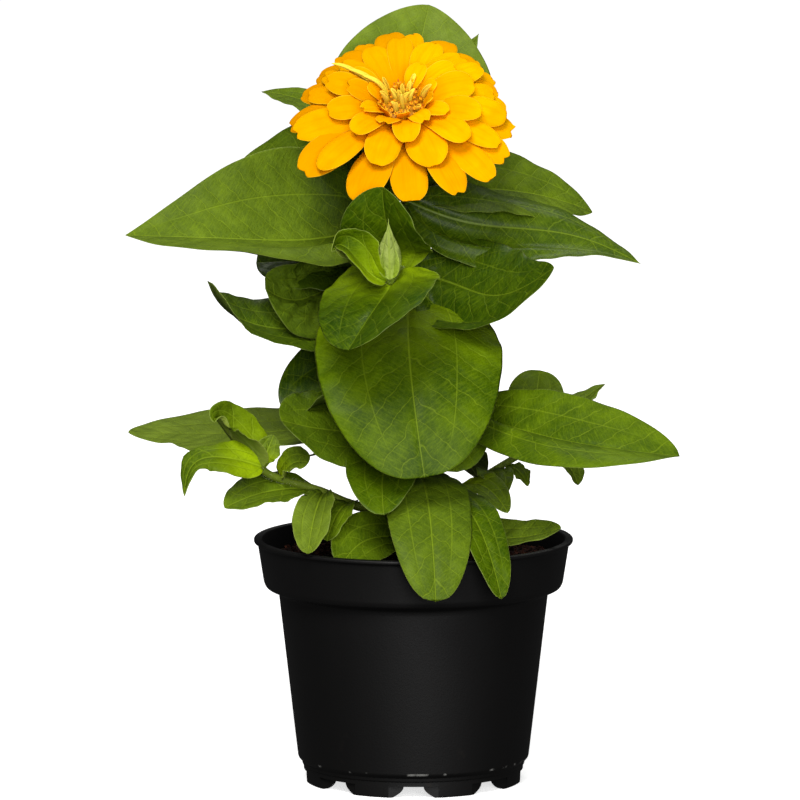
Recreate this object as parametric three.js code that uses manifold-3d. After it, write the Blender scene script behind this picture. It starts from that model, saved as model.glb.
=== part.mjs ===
// Potted zinnia: one double yellow zinnia bloom on its leafy plant, rooted in the potting soil of
// a plain black nursery pot. Millimetres, +Z up. The origin lies on the pot's axis at the ground,
// and -Y is the front, towards which the bloom nods.
import * as THREE from 'three';
import { mergeVertices } from 'three/addons/utils/BufferGeometryUtils.js';
import Module from 'manifold-3d';

const wasm = await Module();
wasm.setup();

// Pot: a standard 12 cm nursery pot
const POT_HEIGHT = 92;
const POT_WALL = 1.6;
const POT_FLOOR = 2;
const RIM_RADIUS = 60;
const BAND_TOP_RADIUS = 58.6;
const BAND_BOTTOM_RADIUS = 56.3;
const BAND_HEIGHT = 17;
const SHOULDER_RADIUS = 50.6;
const BASE_RADIUS = 43.5;
const FOOT_RADIUS = 41.2;
const FOOT_HEIGHT = 8;
const FOOT_RING = 4;
const FLOOR_HEIGHT = 4;
const PAD_RADIUS = 14;
const NOTCHES = 8;
const NOTCH_WIDTH = 17;
const NOTCH_HEIGHT = 4;
const DRAIN_RADIUS = 3.5;
const DRAIN_PLACE = 31;
const POT_SIDES = 40;

// Soil: level with the rim's band and gently uneven
const SOIL_TOP = 84;
const SOIL_RELIEF = 1.6;
const SOIL_SIDES = 30;
const SOIL_RINGS = [14, 27, 39, 49];
const ROOT_DEPTH = 26;

// Plant
const GAP = 0.3;
const LEAF_THICKNESS = 0.7;
const TIP_HALF_WIDTH = 0.4;
const STALK_SHARE = 0.12;
const STEM_SIDES = 7;
const SMALL_LEAF = 36;
const TIP_CROWDING = 2;

// Bloom: its place is the centre of the disc, and its axis nods to the front. Heights in the
// bloom are measured along that axis from this centre.
const BLOOM_CENTRE = new THREE.Vector3(-4, -10, 256.5);
const BLOOM_NOD = 40;
const DISC_RADIUS = 6.6;
const DISC_BOTTOM = -3.2;
const FLORETS = 15;
const FLORET_LENGTH = 4.6;
const FLORET_LEAN = 0.42;
const GOLDEN_ANGLE = Math.PI * (3 - Math.sqrt(5));
const RECEPTACLE_RADIUS = 9.5;
const RECEPTACLE_TOP = -3.5;
const RECEPTACLE_BOTTOM = -10;
const CUP_BOTTOM = -18.5;
const BRACT_RINGS = [
  { count: 6, turn: 0, root: [5, -17], tip: [9.6, -12.6] },
  { count: 7, turn: 20, root: [7.4, -14.2], tip: [11.6, -10.4] },
];
const PETAL_THICKNESS = 0.7;
const SEED = 41;

const BLACK = 0x1c1b1b;
const BROWN = 0x1d120b;
const GREEN = 0x4e6119;
const YELLOW = 0xffc002;
const ORANGE = 0xe8920c;

const radians = THREE.MathUtils.degToRad;
const vector = (xyz) => new THREE.Vector3(...xyz);

// Seeded draws between -1 and 1, the same on every run
function makeDraw(seed) {
  let state = seed;
  return () => {
    state = (state * 16807) % 2147483647;
    return (state / 2147483647) * 2 - 1;
  };
}

function toSolid(geometry) {
  const bare = geometry.clone();
  bare.deleteAttribute('normal');
  bare.deleteAttribute('uv');
  const merged = mergeVertices(bare, 1e-4);
  return new wasm.Manifold(new wasm.Mesh({
    numProp: 3,
    vertProperties: new Float32Array(merged.attributes.position.array),
    triVerts: new Uint32Array(merged.index.array),
  }));
}

function toGeometry(solid) {
  const mesh = solid.getMesh();
  const geometry = new THREE.BufferGeometry();
  geometry.setAttribute('position', new THREE.BufferAttribute(mesh.vertProperties, 3));
  geometry.setIndex(new THREE.BufferAttribute(mesh.triVerts, 1));
  geometry.computeVertexNormals();
  return geometry;
}

// Crossing blades can shut in tiny pockets, which are left out with any loose sliver
function join(solids) {
  const whole = solids.reduce((sum, solid) => sum.add(solid));
  return whole.decompose().reduce((a, b) => (a.volume() > b.volume() ? a : b));
}

function closedMesh(points, triangles) {
  const geometry = new THREE.BufferGeometry();
  geometry.setAttribute('position', new THREE.Float32BufferAttribute(points.flat(), 3));
  geometry.setIndex(triangles.flat());
  return toSolid(geometry);
}

// Leaves. A leaf runs from its base inside the stem to its tip along a rib bent by arch (out of
// its upper face) and sway (sideways), in millimetres, with lean moving the bend nearer to the
// tip; snake adds an S bend, up and sideways. roll and twist turn the blade about the rib. fold
// and curl give, for the left and the right half, the angle at which the half rises from the rib
// and how much it bends on towards the margin. The blade is widest at peak, and a larger point
// gives a longer, sharper tip. heading is the rib's bearing for an upright leaf.
const PLAIN_LEAF = {
  arch: 8, sway: 0, lean: 0, roll: 0, twist: 0, fold: [12, 12], curl: [0, 0], snake: [0, 0],
  peak: 0.42, point: 0.75,
};

function halfWidth(leaf, u) {
  const rise = leaf.point * leaf.peak / (1 - leaf.peak);
  const widest = leaf.peak ** rise * (1 - leaf.peak) ** leaf.point;
  const outline = u ** rise * (1 - u) ** leaf.point / widest;
  const stalk = STALK_SHARE * (1 - u) ** 3;
  return Math.max(leaf.width / 2 * Math.max(outline, stalk), TIP_HALF_WIDTH);
}

function ribFrame(leaf, u) {
  const base = vector(leaf.base);
  const tip = vector(leaf.tip);
  const chord = tip.clone().sub(base);
  const bearing = leaf.heading === undefined ? Math.atan2(chord.y, chord.x) : radians(leaf.heading);
  const level = new THREE.Vector3(-Math.sin(bearing), Math.cos(bearing), 0);
  const rise = chord.clone().normalize().cross(level).normalize();
  const middle = base.clone().add(tip).multiplyScalar(0.5);
  middle.addScaledVector(rise, 2 * leaf.arch).addScaledVector(level, 2 * leaf.sway);
  middle.addScaledVector(chord.clone().normalize(), leaf.lean);
  const rib = new THREE.QuadraticBezierCurve3(base, middle, tip);
  const snake = rise.clone().multiplyScalar(leaf.snake[0]).addScaledVector(level, leaf.snake[1]);
  const forward = middle.clone().sub(base).multiplyScalar(2 * (1 - u));
  forward.addScaledVector(tip.clone().sub(middle), 2 * u);
  forward.addScaledVector(snake, 2 * Math.PI * Math.cos(2 * Math.PI * u)).normalize();
  const flatSide = level.clone().addScaledVector(forward, -forward.dot(level)).normalize();
  const flatUp = forward.clone().cross(flatSide);
  const turn = radians(leaf.roll + leaf.twist * (u - 0.5));
  const side = flatSide.clone().multiplyScalar(Math.cos(turn)).addScaledVector(flatUp, Math.sin(turn));
  const up = flatUp.clone().multiplyScalar(Math.cos(turn)).addScaledVector(flatSide, -Math.sin(turn));
  const point = rib.getPoint(u).addScaledVector(snake, Math.sin(2 * Math.PI * u));
  return { point, side, up };
}

function bladePoint(leaf, u, v) {
  const { point, side, up } = ribFrame(leaf, u);
  const half = v > 0 ? 0 : 1;
  const out = Math.abs(v);
  const fold = radians(leaf.fold[half]) * (1 - 0.35 * u);
  const bend = radians(leaf.curl[half]) * (1 - (2 * u - 1) ** 4);
  const curl = Math.abs(bend) < 1e-3 ? 1e-3 : bend;
  const across = (Math.sin(fold + curl * out) - Math.sin(fold)) / curl;
  const above = (Math.cos(fold) - Math.cos(fold + curl * out)) / curl;
  const width = halfWidth(leaf, u);
  return point.addScaledVector(side, Math.sign(v) * across * width).addScaledVector(up, above * width);
}

// A blade is a grid of points on its middle surface, set off to both sides by half its thickness,
// with a wall round its margin. Both faces are split into the same triangles.
function blade(leaf, rows, columns, thickness) {
  const grid = [];
  for (let i = 0; i <= rows; i++) {
    const u = 1 - (1 - i / rows) ** TIP_CROWDING;
    grid.push([]);
    for (let j = 0; j <= columns; j++) {
      grid[i].push(bladePoint(leaf, u, 2 * j / columns - 1));
    }
  }
  const points = [[], []];
  for (let i = 0; i <= rows; i++) {
    for (let j = 0; j <= columns; j++) {
      const along = grid[Math.min(i + 1, rows)][j].clone().sub(grid[Math.max(i - 1, 0)][j]);
      const across = grid[i][Math.min(j + 1, columns)].clone().sub(grid[i][Math.max(j - 1, 0)]);
      const normal = along.cross(across).normalize().multiplyScalar(thickness / 2);
      points[0].push(grid[i][j].clone().add(normal).toArray());
      points[1].push(grid[i][j].clone().sub(normal).toArray());
    }
  }
  const wide = columns + 1;
  const below = points[0].length;
  const triangles = [];
  for (let i = 0; i < rows; i++) {
    for (let j = 0; j < columns; j++) {
      const a = i * wide + j;
      const b = a + 1;
      const c = a + wide + 1;
      const d = a + wide;
      const cuts = j < columns / 2 ? [[a, c, b], [a, d, c]] : [[a, d, b], [b, d, c]];
      for (const [p, q, r] of cuts) {
        triangles.push([p, q, r], [p + below, r + below, q + below]);
      }
    }
  }
  const margin = [];
  for (let j = 0; j < columns; j++) margin.push(j);
  for (let i = 0; i < rows; i++) margin.push(i * wide + columns);
  for (let j = columns; j > 0; j--) margin.push(rows * wide + j);
  for (let i = rows; i > 0; i--) margin.push(i * wide);
  margin.forEach((p, k) => {
    const q = margin[(k + 1) % margin.length];
    triangles.push([p, q, p + below], [q, q + below, p + below]);
  });
  return closedMesh([...points[0], ...points[1]], triangles);
}

function leafSolid(choice) {
  const leaf = { ...PLAIN_LEAF, ...choice };
  const large = leaf.width >= SMALL_LEAF;
  return blade(leaf, large ? 6 : 4, large ? 4 : 2, LEAF_THICKNESS);
}

// A stem is a tapering tube with closed ends along a smooth curve through its points
function stemSolid({ path, radii }, extra = 0) {
  const curve = new THREE.CatmullRomCurve3(path.map(vector));
  const steps = (path.length - 1) * 2;
  const { normals, binormals } = curve.computeFrenetFrames(steps, false);
  const points = [];
  for (let i = 0; i <= steps; i++) {
    const centre = curve.getPointAt(i / steps);
    const radius = radii[0] + (radii[1] - radii[0]) * i / steps + extra;
    for (let k = 0; k < STEM_SIDES; k++) {
      const angle = 2 * Math.PI * k / STEM_SIDES;
      const rim = centre.clone().addScaledVector(normals[i], radius * Math.cos(angle));
      points.push(rim.addScaledVector(binormals[i], radius * Math.sin(angle)).toArray());
    }
  }
  const triangles = [];
  for (let i = 0; i < steps; i++) {
    for (let k = 0; k < STEM_SIDES; k++) {
      const a = i * STEM_SIDES + k;
      const b = i * STEM_SIDES + (k + 1) % STEM_SIDES;
      triangles.push([a, b, b + STEM_SIDES], [a, b + STEM_SIDES, a + STEM_SIDES]);
    }
  }
  for (let k = 1; k < STEM_SIDES - 1; k++) {
    const last = steps * STEM_SIDES;
    triangles.push([0, k + 1, k], [last, last + k, last + k + 1]);
  }
  return closedMesh(points, triangles);
}

// Main stem: it rises from the soil, leans back a little and nods forward under the bloom.
// Zinnia leaves sit in opposite pairs straight on the stem, each pair turned from the last.
const MAIN_STEM = {
  path: [[0, 2, SOIL_TOP - ROOT_DEPTH], [1, 3, 130], [0, 5, 190], [-3, 8, 222], [-4, 6, 234],
    [-4, 2.4, 241.6]],
  radii: [3.2, 2.3],
  leaves: [
    // pair below the bloom, with the two leaves behind it and the three behind the petals
    { base: [-8, 1.3, 213.1], tip: [-107, -18.1, 208], width: 72, arch: -6.1, sway: -1.36, lean: -14,
      roll: -39.6, twist: 18.8, fold: [25.3, 18.9], curl: [21.9, 32.6], snake: [-1.91, -5.9],
      peak: 0.42, point: 0.96 },
    { base: [-3, 1.7, 219.3], tip: [85, 2.7, 195.1], width: 42.7, arch: 0.61, sway: 3.9, lean: -1.97,
      roll: 42.3, twist: -33.7, fold: [33.2, -38.9], curl: [-74.1, 72.5], snake: [-2.7, -2.1],
      peak: 0.41, point: 1.2 },
    { base: [-3, 8, 219], tip: [68, 38, 211], width: 42, arch: 6, roll: 34, fold: [15, 15],
      peak: 0.45, point: 0.8 },
    { base: [-4, 8, 219], tip: [-73, 49, 219], width: 56, arch: 6, sway: -4, roll: -44, fold: [15, 15],
      peak: 0.45, point: 0.8 },
    { base: [-4, 8, 224], tip: [6, 48, 289], width: 64, arch: -4, sway: 2, heading: 90, peak: 0.48,
      point: 0.68 },
    { base: [-4, 6, 229], tip: [-58, 60, 255], width: 26, arch: 7, roll: -14, point: 0.9 },
    { base: [-4, 6, 229], tip: [25, 62, 277], width: 22, arch: 3, point: 1.1 },
    // second pair, crinkled and dark, and the broad front leaf
    { base: [-2, 0.6, 193.2], tip: [51.5, -44.7, 198.9], width: 45.9, arch: -9.3, sway: 2.3, lean: -7,
      roll: 66, twist: -9.7, fold: [-8.9, 16.8], curl: [-25.3, 37.5], snake: [2, 2.6], peak: 0.47,
      point: 0.72 },
    { base: [-2, 4.3, 192], tip: [-55, -24.7, 188.8], width: 40.5, arch: -5, sway: -9.7, lean: 1.5,
      roll: -54.6, twist: 3.3, fold: [18.1, -1.77], curl: [-21.9, 101.1], snake: [2.8, -1], peak: 0.41,
      point: 0.38 },
    { base: [-2, 4, 191], tip: [-59, 6, 195], width: 40, arch: 2, roll: -35, peak: 0.55, point: 0.5 },
    { base: [-1, 2, 182], tip: [4, -60, 123], width: 70, arch: 17, sway: -4, fold: [6, 6], curl: [-20, -20],
      peak: 0.46, point: 0.42 },
    { base: [-1, 3, 178], tip: [-76, -28, 192], width: 28, arch: -14, lean: 26, roll: -35, twist: 60,
      fold: [15, 15], peak: 0.5, point: 0.42 },
    // third pair and the leaves round it
    { base: [0, 2, 154], tip: [-49, -12, 142], width: 42, arch: 3, roll: -48, fold: [15, 15],
      curl: [90, 0], peak: 0.45, point: 0.55 },
    { base: [0, 2, 134], tip: [-49, -36, 141], width: 42, arch: -3, roll: -36, fold: [8, 8],
      curl: [-20, 0], peak: 0.5, point: 0.5 },
    { base: [0, 2, 124], tip: [-11, -58, 109], width: 29, arch: 10, sway: -4, peak: 0.55, point: 0.5 },
    { base: [1, 2.7, 137.7], tip: [97.6, -54, 130.1], width: 38.9, arch: 3.1, sway: -11.1, lean: -12.5,
      roll: 30.8, twist: -20.9, fold: [31.8, 45.6], curl: [-1.46, -60], snake: [0.89, 4.2], peak: 0.68,
      point: 0.62 },
    { base: [0, 4.9, 140.7], tip: [-107.8, 17.6, 129.3], width: 48.8, arch: -4, sway: 1.1, lean: 16.7,
      roll: -11.6, twist: 5.7, fold: [-3.8, -5.5], curl: [14.6, 17.8], snake: [-0.06, 6.5], peak: 0.54,
      point: 0.75 },
    { base: [1, 2, 149], tip: [16, -38, 122], width: 34, arch: 8, roll: 10, fold: [8, 8],
      peak: 0.55, point: 0.45 },
    // lowest leaves, over the rim and over the soil
    { base: [0, 2, 114], tip: [8, -72, 79], width: 32, arch: 19, fold: [8, 8], curl: [-20, -20],
      peak: 0.55, point: 0.42 },
    { base: [0, 2, 105], tip: [32, -66, 79], width: 19, arch: 19, peak: 0.6, point: 0.55 },
    { base: [0, 2.4, 96.3], tip: [-27, -40, 87.5], width: 23.1, arch: 3.2, sway: 4.9, lean: -3.5,
      roll: -35.5, twist: 12.6, fold: [22.6, 18.2], curl: [-17.7, 11.8], snake: [-2.2, 2.7], peak: 0.67,
      point: 0.5 },
    { base: [0, 2, 100], tip: [55, -24, 99], width: 19, arch: -6, roll: 28, fold: [18, 18],
      peak: 0.6, point: 0.6 },
    // leaves at the back
    { base: [-1, 3, 184], tip: [7, 74, 162], width: 52, arch: 10, peak: 0.5, point: 0.5 },
    { base: [0, 3, 152], tip: [30, 56, 151], width: 34 },
    { base: [0, 3, 149], tip: [-37, 60, 147], width: 34 },
    { base: [0, 3, 123], tip: [10, 82, 106], width: 36, arch: 14, peak: 0.5, point: 0.5 },
    { base: [0, 3, 113], tip: [26, 60, 105], width: 26, arch: 10 },
  ],
};

// Side shoots, each a thin stem out of the main one with its own small leaves
const SIDE_SHOOTS = {
  // the short shoot in front, with a closed bud among its leaves
  front_shoot: {
    path: [[-1, 5, 199.5], [-3, -14, 197.5], [-5, -34, 196.5], [-5.2, -41, 197], [-8.8, -48, 194.5]],
    radii: [1.9, 1.7],
    leaves: [
      { base: [-5, -41.5, 198], tip: [-23.8, -80, 172.5], width: 48.2, arch: -0.06, sway: 0.14,
        lean: -9.1, roll: 2.6, twist: 7.4, fold: [28.6, 12.7], curl: [-18, -18.6],
        snake: [-1.51, -0.96], peak: 0.42, point: 0.45 },
      { base: [-5, -39.5, 195.5], tip: [-11.5, -47.1, 228.8], width: 38, arch: -3.7, sway: 0.67,
        lean: -8.2, roll: -19.9, twist: -30, fold: [20.5, 23.2], curl: [2.4, 1.13],
        snake: [-1.86, -0.72], peak: 0.52, point: 0.6, heading: 90 },
      { base: [-10, -47.3, 193.5], tip: [-30, -54, 205.5], width: 22.1, arch: 2.9, sway: -5.9, lean: 3,
        roll: -70.8, twist: 13.7, fold: [63.7, 28.4], curl: [-15.6, 58], snake: [-2.4, 5.5], peak: 0.49,
        point: 1.3 },
      { base: [-8.8, -49.5, 194.5], tip: [-9.3, -51.5, 217.5], width: 13, arch: 1.5, fold: [-35, -35],
        curl: [-30, -30], peak: 0.3, point: 1.7, heading: 90 },
      { base: [-9, -47.5, 195], tip: [-9, -48.5, 212], width: 10, arch: 0.5, fold: [45, 45], peak: 0.3,
        point: 1.4, heading: 90 },
    ],
  },
  left_shoot: {
    path: [[0, 2, 100], [-21, -8, 105], [-36, -14, 112], [-50, -20, 117], [-56, -24, 121],
      [-57, -26, 126]],
    radii: [1.9, 1.4],
    leaves: [
      { base: [-57, -24.9, 120], tip: [-73.6, -32, 139.7], width: 25.7, arch: 2.6, sway: -6.7, lean: 16,
        roll: -33.6, twist: -18.6, fold: [65, 64.1], curl: [-38.5, -19.3], snake: [-0.24, -0.66],
        peak: 0.25, point: 0.99 },
      { base: [-56, -26.6, 122.3], tip: [-84.5, -45.2, 114], width: 17, arch: 9.2, sway: -4.5,
        lean: 0.03, roll: -29.4, twist: 59.7, fold: [17.8, 19.8], curl: [-44.2, -28.7],
        snake: [-1.23, 2.3], peak: 0.32, point: 0.9 },
      { base: [-56, -26, 124], tip: [-52, -24, 134], width: 10, arch: 0, fold: [20, 20], heading: 90 },
      { base: [-49, -20, 117], tip: [-39, -27, 124], width: 13, arch: 3, roll: 50, fold: [8, 8],
        curl: [40, 40], peak: 0.45, point: 0.4 },
      { base: [-36, -14, 112], tip: [-70, -34, 108], width: 21, arch: 3, roll: -25, fold: [15, 15],
        peak: 0.5, point: 0.65 },
      { base: [-33, -13, 111], tip: [-39, -48, 93], width: 16, arch: 5, fold: [32, 32], peak: 0.6,
        point: 0.5 },
      { base: [-22, -8, 106], tip: [-32, -36, 96], width: 13, arch: 5, fold: [20, 20], peak: 0.6,
        point: 0.5 },
    ],
  },
  right_shoot: {
    path: [[0, 2, 94], [12, 7, 104], [32, 10, 117], [48, 18, 125]],
    radii: [1.7, 1.2],
    leaves: [
      { base: [43, 16, 122], tip: [48, 26, 152], width: 22, arch: 0, fold: [8, 8], peak: 0.62,
        point: 0.45, heading: 90 },
      { base: [47, 17, 124], tip: [73, 40, 145], width: 16, arch: 2, fold: [15, 15], point: 0.8 },
      { base: [46, 17, 124], tip: [62, 5, 111], width: 17, arch: 4, fold: [20, 20], peak: 0.5,
        point: 0.7 },
      { base: [28, 8, 116], tip: [33, -10, 108], width: 14, arch: 4, fold: [10, 10] },
      { base: [35, 11, 118], tip: [43, 2, 111], width: 9, arch: 2, fold: [10, 10] },
      { base: [14, 8, 106], tip: [35, -26, 105], width: 13, arch: 8, roll: 20, fold: [15, 15],
        peak: 0.55, point: 0.6 },
    ],
  },
  back_shoot: {
    path: [[0, 2, 104], [-7, 16, 112], [-16, 32, 120], [-20, 44, 130]],
    radii: [1.7, 1.2],
    leaves: [
      { base: [-10, 21, 114], tip: [-40, 34, 118], width: 18, arch: 4 },
      { base: [-15, 31, 119], tip: [-36, 54, 126], width: 18, arch: 4 },
      { base: [-17, 36, 123], tip: [-25, 68, 136], width: 15, arch: 4 },
      { base: [-20, 43, 129], tip: [-32, 54, 146], width: 13, arch: 3 },
    ],
  },
};

function leafyStem({ path, radii, leaves }) {
  return join([stemSolid({ path, radii }), ...leaves.map(leafSolid)]);
}

// Bloom: rays in five rings round the disc, outer ones long and drooping, inner ones short and
// raised. Each ray has a bearing and a reach. It starts inside the receptacle, at root from the
// bloom's axis, and ends near tipHeight.
const RAY_RINGS = [
  { width: 16.5, root: 5, baseHeight: -7.5, tipHeight: -8, arch: 5, roll: 9, rays: [
    [-9, 42], [-27, 42], [-45, 46], [-64, 45], [-87, 43], [-113, 46], [-140, 47], [-174, 43],
    [162, 40], [135, 39], [106, 43], [88, 45], [68, 44], [48, 39], [22, 38]] },
  { width: 15.5, root: 5, baseHeight: -6, tipHeight: -1, arch: 4.5, roll: 10, rays: [
    [-9, 38], [-33, 40], [-55, 37], [-77, 34], [-103, 35], [-129, 41], [-154, 42], [175, 36],
    [150, 33], [128, 33], [103, 36], [80, 36], [58, 35], [37, 36], [14, 36]] },
  { width: 14, root: 6, baseHeight: -5, tipHeight: 4, arch: 4, roll: 11, rays: [
    [8, 28], [-22, 31], [-44, 31], [-66, 27], [-88, 25], [-110, 26], [-134, 28], [-160, 29],
    [168, 29], [130, 25], [84, 22], [40, 26]] },
  { width: 10.5, root: 7.8, baseHeight: -5, tipHeight: 7.5, arch: 3, roll: 12, rays: [
    [18, 21], [-30, 19], [-72, 18], [-112, 19], [-154, 19], [158, 19], [112, 17], [64, 16]] },
  { width: 6.5, root: 8.6, baseHeight: -5, tipHeight: 8.5, arch: 0.5, roll: 14, rays: [
    [27, 13], [-48, 13], [-110, 13], [175, 13], [100, 12.5]] },
];
const RAY_UNEVENNESS = 1;

function ringRays(ring, draw) {
  return ring.rays.map(([bearing, reach]) => {
    const angle = radians(bearing);
    const height = ring.tipHeight + RAY_UNEVENNESS * draw();
    return {
      ...PLAIN_LEAF,
      base: [ring.root * Math.cos(angle), ring.root * Math.sin(angle), ring.baseHeight],
      tip: [reach * Math.cos(angle), reach * Math.sin(angle), height],
      width: ring.width, arch: ring.arch, roll: ring.roll, fold: [10, 10], curl: [-24, -24], peak: 0.8,
      point: 0.3, heading: bearing,
    };
  });
}

function rayPetals() {
  const draw = makeDraw(SEED);
  const rays = RAY_RINGS.flatMap((ring) => ringRays(ring, draw));
  const receptacle = lathe([
    [0, RECEPTACLE_BOTTOM + GAP], [RECEPTACLE_RADIUS, RECEPTACLE_BOTTOM + GAP],
    [RECEPTACLE_RADIUS, RECEPTACLE_BOTTOM + 4], [RECEPTACLE_RADIUS - 2, RECEPTACLE_TOP], [0, RECEPTACLE_TOP],
  ], 20);
  return join([receptacle, ...rays.map((ray) => blade(ray, 3, 2, PETAL_THICKNESS))]);
}

function lathe(profile, sides) {
  const outline = profile.map(([radius, height]) => new THREE.Vector2(radius, height));
  const geometry = new THREE.LatheGeometry(outline, sides);
  geometry.rotateX(Math.PI / 2);
  return toSolid(geometry);
}

// Disc: a low dome crowded with small five-lobed florets in a spiral, taller towards its edge
function discFlorets() {
  const dome = lathe([
    [0, DISC_BOTTOM], [DISC_RADIUS, DISC_BOTTOM], [DISC_RADIUS - 0.4, -1.2], [DISC_RADIUS * 0.6, 0.8],
    [0, 1.6],
  ], 16);
  const florets = Array.from({ length: FLORETS }, (_, k) => {
    const share = Math.sqrt((k + 0.5) / FLORETS);
    const angle = k * GOLDEN_ANGLE;
    const floret = new THREE.CylinderGeometry(0.7 + 0.75 * share, 0.45, FLORET_LENGTH, 5);
    floret.rotateX(Math.PI / 2);
    floret.translate(0, 0, FLORET_LENGTH / 2);
    floret.rotateY(share * FLORET_LEAN);
    floret.translate(share * (DISC_RADIUS - 1.3), 0, 0.2 - 2 * share ** 3);
    floret.rotateZ(angle);
    return toSolid(floret);
  });
  return join([dome, ...florets]);
}

// Bracts: the green cup under the bloom, covered with small rounded overlapping scales
function bracts() {
  const cup = lathe([
    [0, CUP_BOTTOM], [3, CUP_BOTTOM], [7, CUP_BOTTOM + 2.6], [RECEPTACLE_RADIUS, RECEPTACLE_BOTTOM - 3],
    [RECEPTACLE_RADIUS, RECEPTACLE_BOTTOM], [0, RECEPTACLE_BOTTOM],
  ], 14);
  const scales = BRACT_RINGS.flatMap(({ count, turn, root, tip }) => (
    Array.from({ length: count }, (_, k) => {
      const bearing = turn + 360 * k / count;
      const angle = radians(bearing);
      return blade({
        ...PLAIN_LEAF,
        base: [root[0] * Math.cos(angle), root[0] * Math.sin(angle), root[1]],
        tip: [tip[0] * Math.cos(angle), tip[0] * Math.sin(angle), tip[1]],
        width: 6, arch: -0.8, fold: [15, 15], curl: [20, 20], peak: 0.6, point: 0.35, heading: bearing,
      }, 2, 2, PETAL_THICKNESS);
    })));
  return join([cup, ...scales]);
}

// Pot: a foot ring notched for drainage round a central pad, a tapering wall, and a rim band that
// flares out over a shoulder to a thin lip
function pot() {
  const bandBottom = POT_HEIGHT - BAND_HEIGHT;
  const floorTop = FLOOR_HEIGHT + POT_FLOOR;
  const shell = lathe([
    [0, 0], [PAD_RADIUS, 0], [PAD_RADIUS, FLOOR_HEIGHT], [FOOT_RADIUS - FOOT_RING, FLOOR_HEIGHT],
    [FOOT_RADIUS - FOOT_RING, 0], [FOOT_RADIUS, 0], [FOOT_RADIUS + 0.3, FOOT_HEIGHT - 1],
    [BASE_RADIUS, FOOT_HEIGHT + 1], [SHOULDER_RADIUS, bandBottom - 4.5],
    [SHOULDER_RADIUS + 0.5, bandBottom - 3], [BAND_BOTTOM_RADIUS - 0.8, bandBottom - 1.2],
    [BAND_BOTTOM_RADIUS, bandBottom + 0.5], [BAND_TOP_RADIUS, POT_HEIGHT - 1.8],
    [RIM_RADIUS, POT_HEIGHT - 1.3], [RIM_RADIUS, POT_HEIGHT - 0.3], [RIM_RADIUS - 0.4, POT_HEIGHT],
    [BAND_TOP_RADIUS - POT_WALL, POT_HEIGHT], ...innerWall(0).reverse(), [0, floorTop],
  ], POT_SIDES);
  const cutters = Array.from({ length: NOTCHES }, (_, k) => {
    const notch = new THREE.BoxGeometry(NOTCH_WIDTH, 4 * FOOT_RING, 2 * NOTCH_HEIGHT);
    notch.translate(0, -FOOT_RADIUS, 0);
    const drain = new THREE.CylinderGeometry(DRAIN_RADIUS, DRAIN_RADIUS, 4 * POT_FLOOR, 8);
    drain.rotateX(Math.PI / 2);
    drain.translate(0, -DRAIN_PLACE, floorTop);
    return [notch, drain].map((cutter) => toSolid(cutter.rotateZ(2 * Math.PI * k / NOTCHES)));
  });
  return cutters.flat().reduce((cut, cutter) => cut.subtract(cutter), shell);
}

// Radius and height down the inside of the pot, from below the lip to the floor, set in by a gap
function innerWall(gap) {
  const bandBottom = POT_HEIGHT - BAND_HEIGHT;
  return [
    [BASE_RADIUS - POT_WALL - gap, FLOOR_HEIGHT + POT_FLOOR + gap],
    [SHOULDER_RADIUS - POT_WALL - gap, bandBottom - 3.5],
    [BAND_BOTTOM_RADIUS - POT_WALL - gap, bandBottom + 0.5],
  ];
}

// Soil: it fills the pot to a rough top, with a plain hole where the stem stands
function soil() {
  const draw = makeDraw(SEED + 1);
  const bandBottom = POT_HEIGHT - BAND_HEIGHT;
  const edge = BAND_BOTTOM_RADIUS - POT_WALL - GAP
    + (BAND_TOP_RADIUS - BAND_BOTTOM_RADIUS) * (SOIL_TOP - bandBottom) / BAND_HEIGHT;
  const wall = innerWall(GAP).reverse();
  const rings = [...SOIL_RINGS.map((radius) => [radius, SOIL_TOP]), [edge - 0.3, SOIL_TOP - 0.8], ...wall];
  const points = [[0, 0, SOIL_TOP]];
  rings.forEach(([radius, height], ring) => {
    for (let k = 0; k < SOIL_SIDES; k++) {
      const angle = 2 * Math.PI * k / SOIL_SIDES;
      const rough = ring < SOIL_RINGS.length ? SOIL_RELIEF * draw() : 0;
      points.push([radius * Math.cos(angle), radius * Math.sin(angle), height + rough]);
    }
  });
  const floor = points.length;
  points.push([0, 0, wall.at(-1)[1]]);
  const triangles = [];
  for (let k = 0; k < SOIL_SIDES; k++) {
    const next = (k + 1) % SOIL_SIDES;
    triangles.push([0, 1 + k, 1 + next]);
    for (let ring = 0; ring < rings.length - 1; ring++) {
      const inner = 1 + ring * SOIL_SIDES;
      const outer = inner + SOIL_SIDES;
      triangles.push([inner + k, outer + k, outer + next], [inner + k, outer + next, inner + next]);
    }
    const last = 1 + (rings.length - 1) * SOIL_SIDES;
    triangles.push([last + k, floor, last + next]);
  }
  return closedMesh(points, triangles).subtract(stemSolid(MAIN_STEM, GAP));
}

function piece(name, solid, colour, roughness) {
  const material = new THREE.MeshStandardMaterial({ color: colour, roughness, metalness: 0 });
  const mesh = new THREE.Mesh(toGeometry(solid), material);
  mesh.name = name;
  return mesh;
}

const zinnia = new THREE.Group();
zinnia.add(piece('pot', pot(), BLACK, 0.35));
zinnia.add(piece('soil', soil(), BROWN, 0.95));
zinnia.add(piece('main_stem', leafyStem(MAIN_STEM), GREEN, 0.5));
const stemRoom = stemSolid(MAIN_STEM, GAP);
for (const [name, shoot] of Object.entries(SIDE_SHOOTS)) {
  zinnia.add(piece(name, leafyStem(shoot).subtract(stemRoom), GREEN, 0.5));
}

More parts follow.
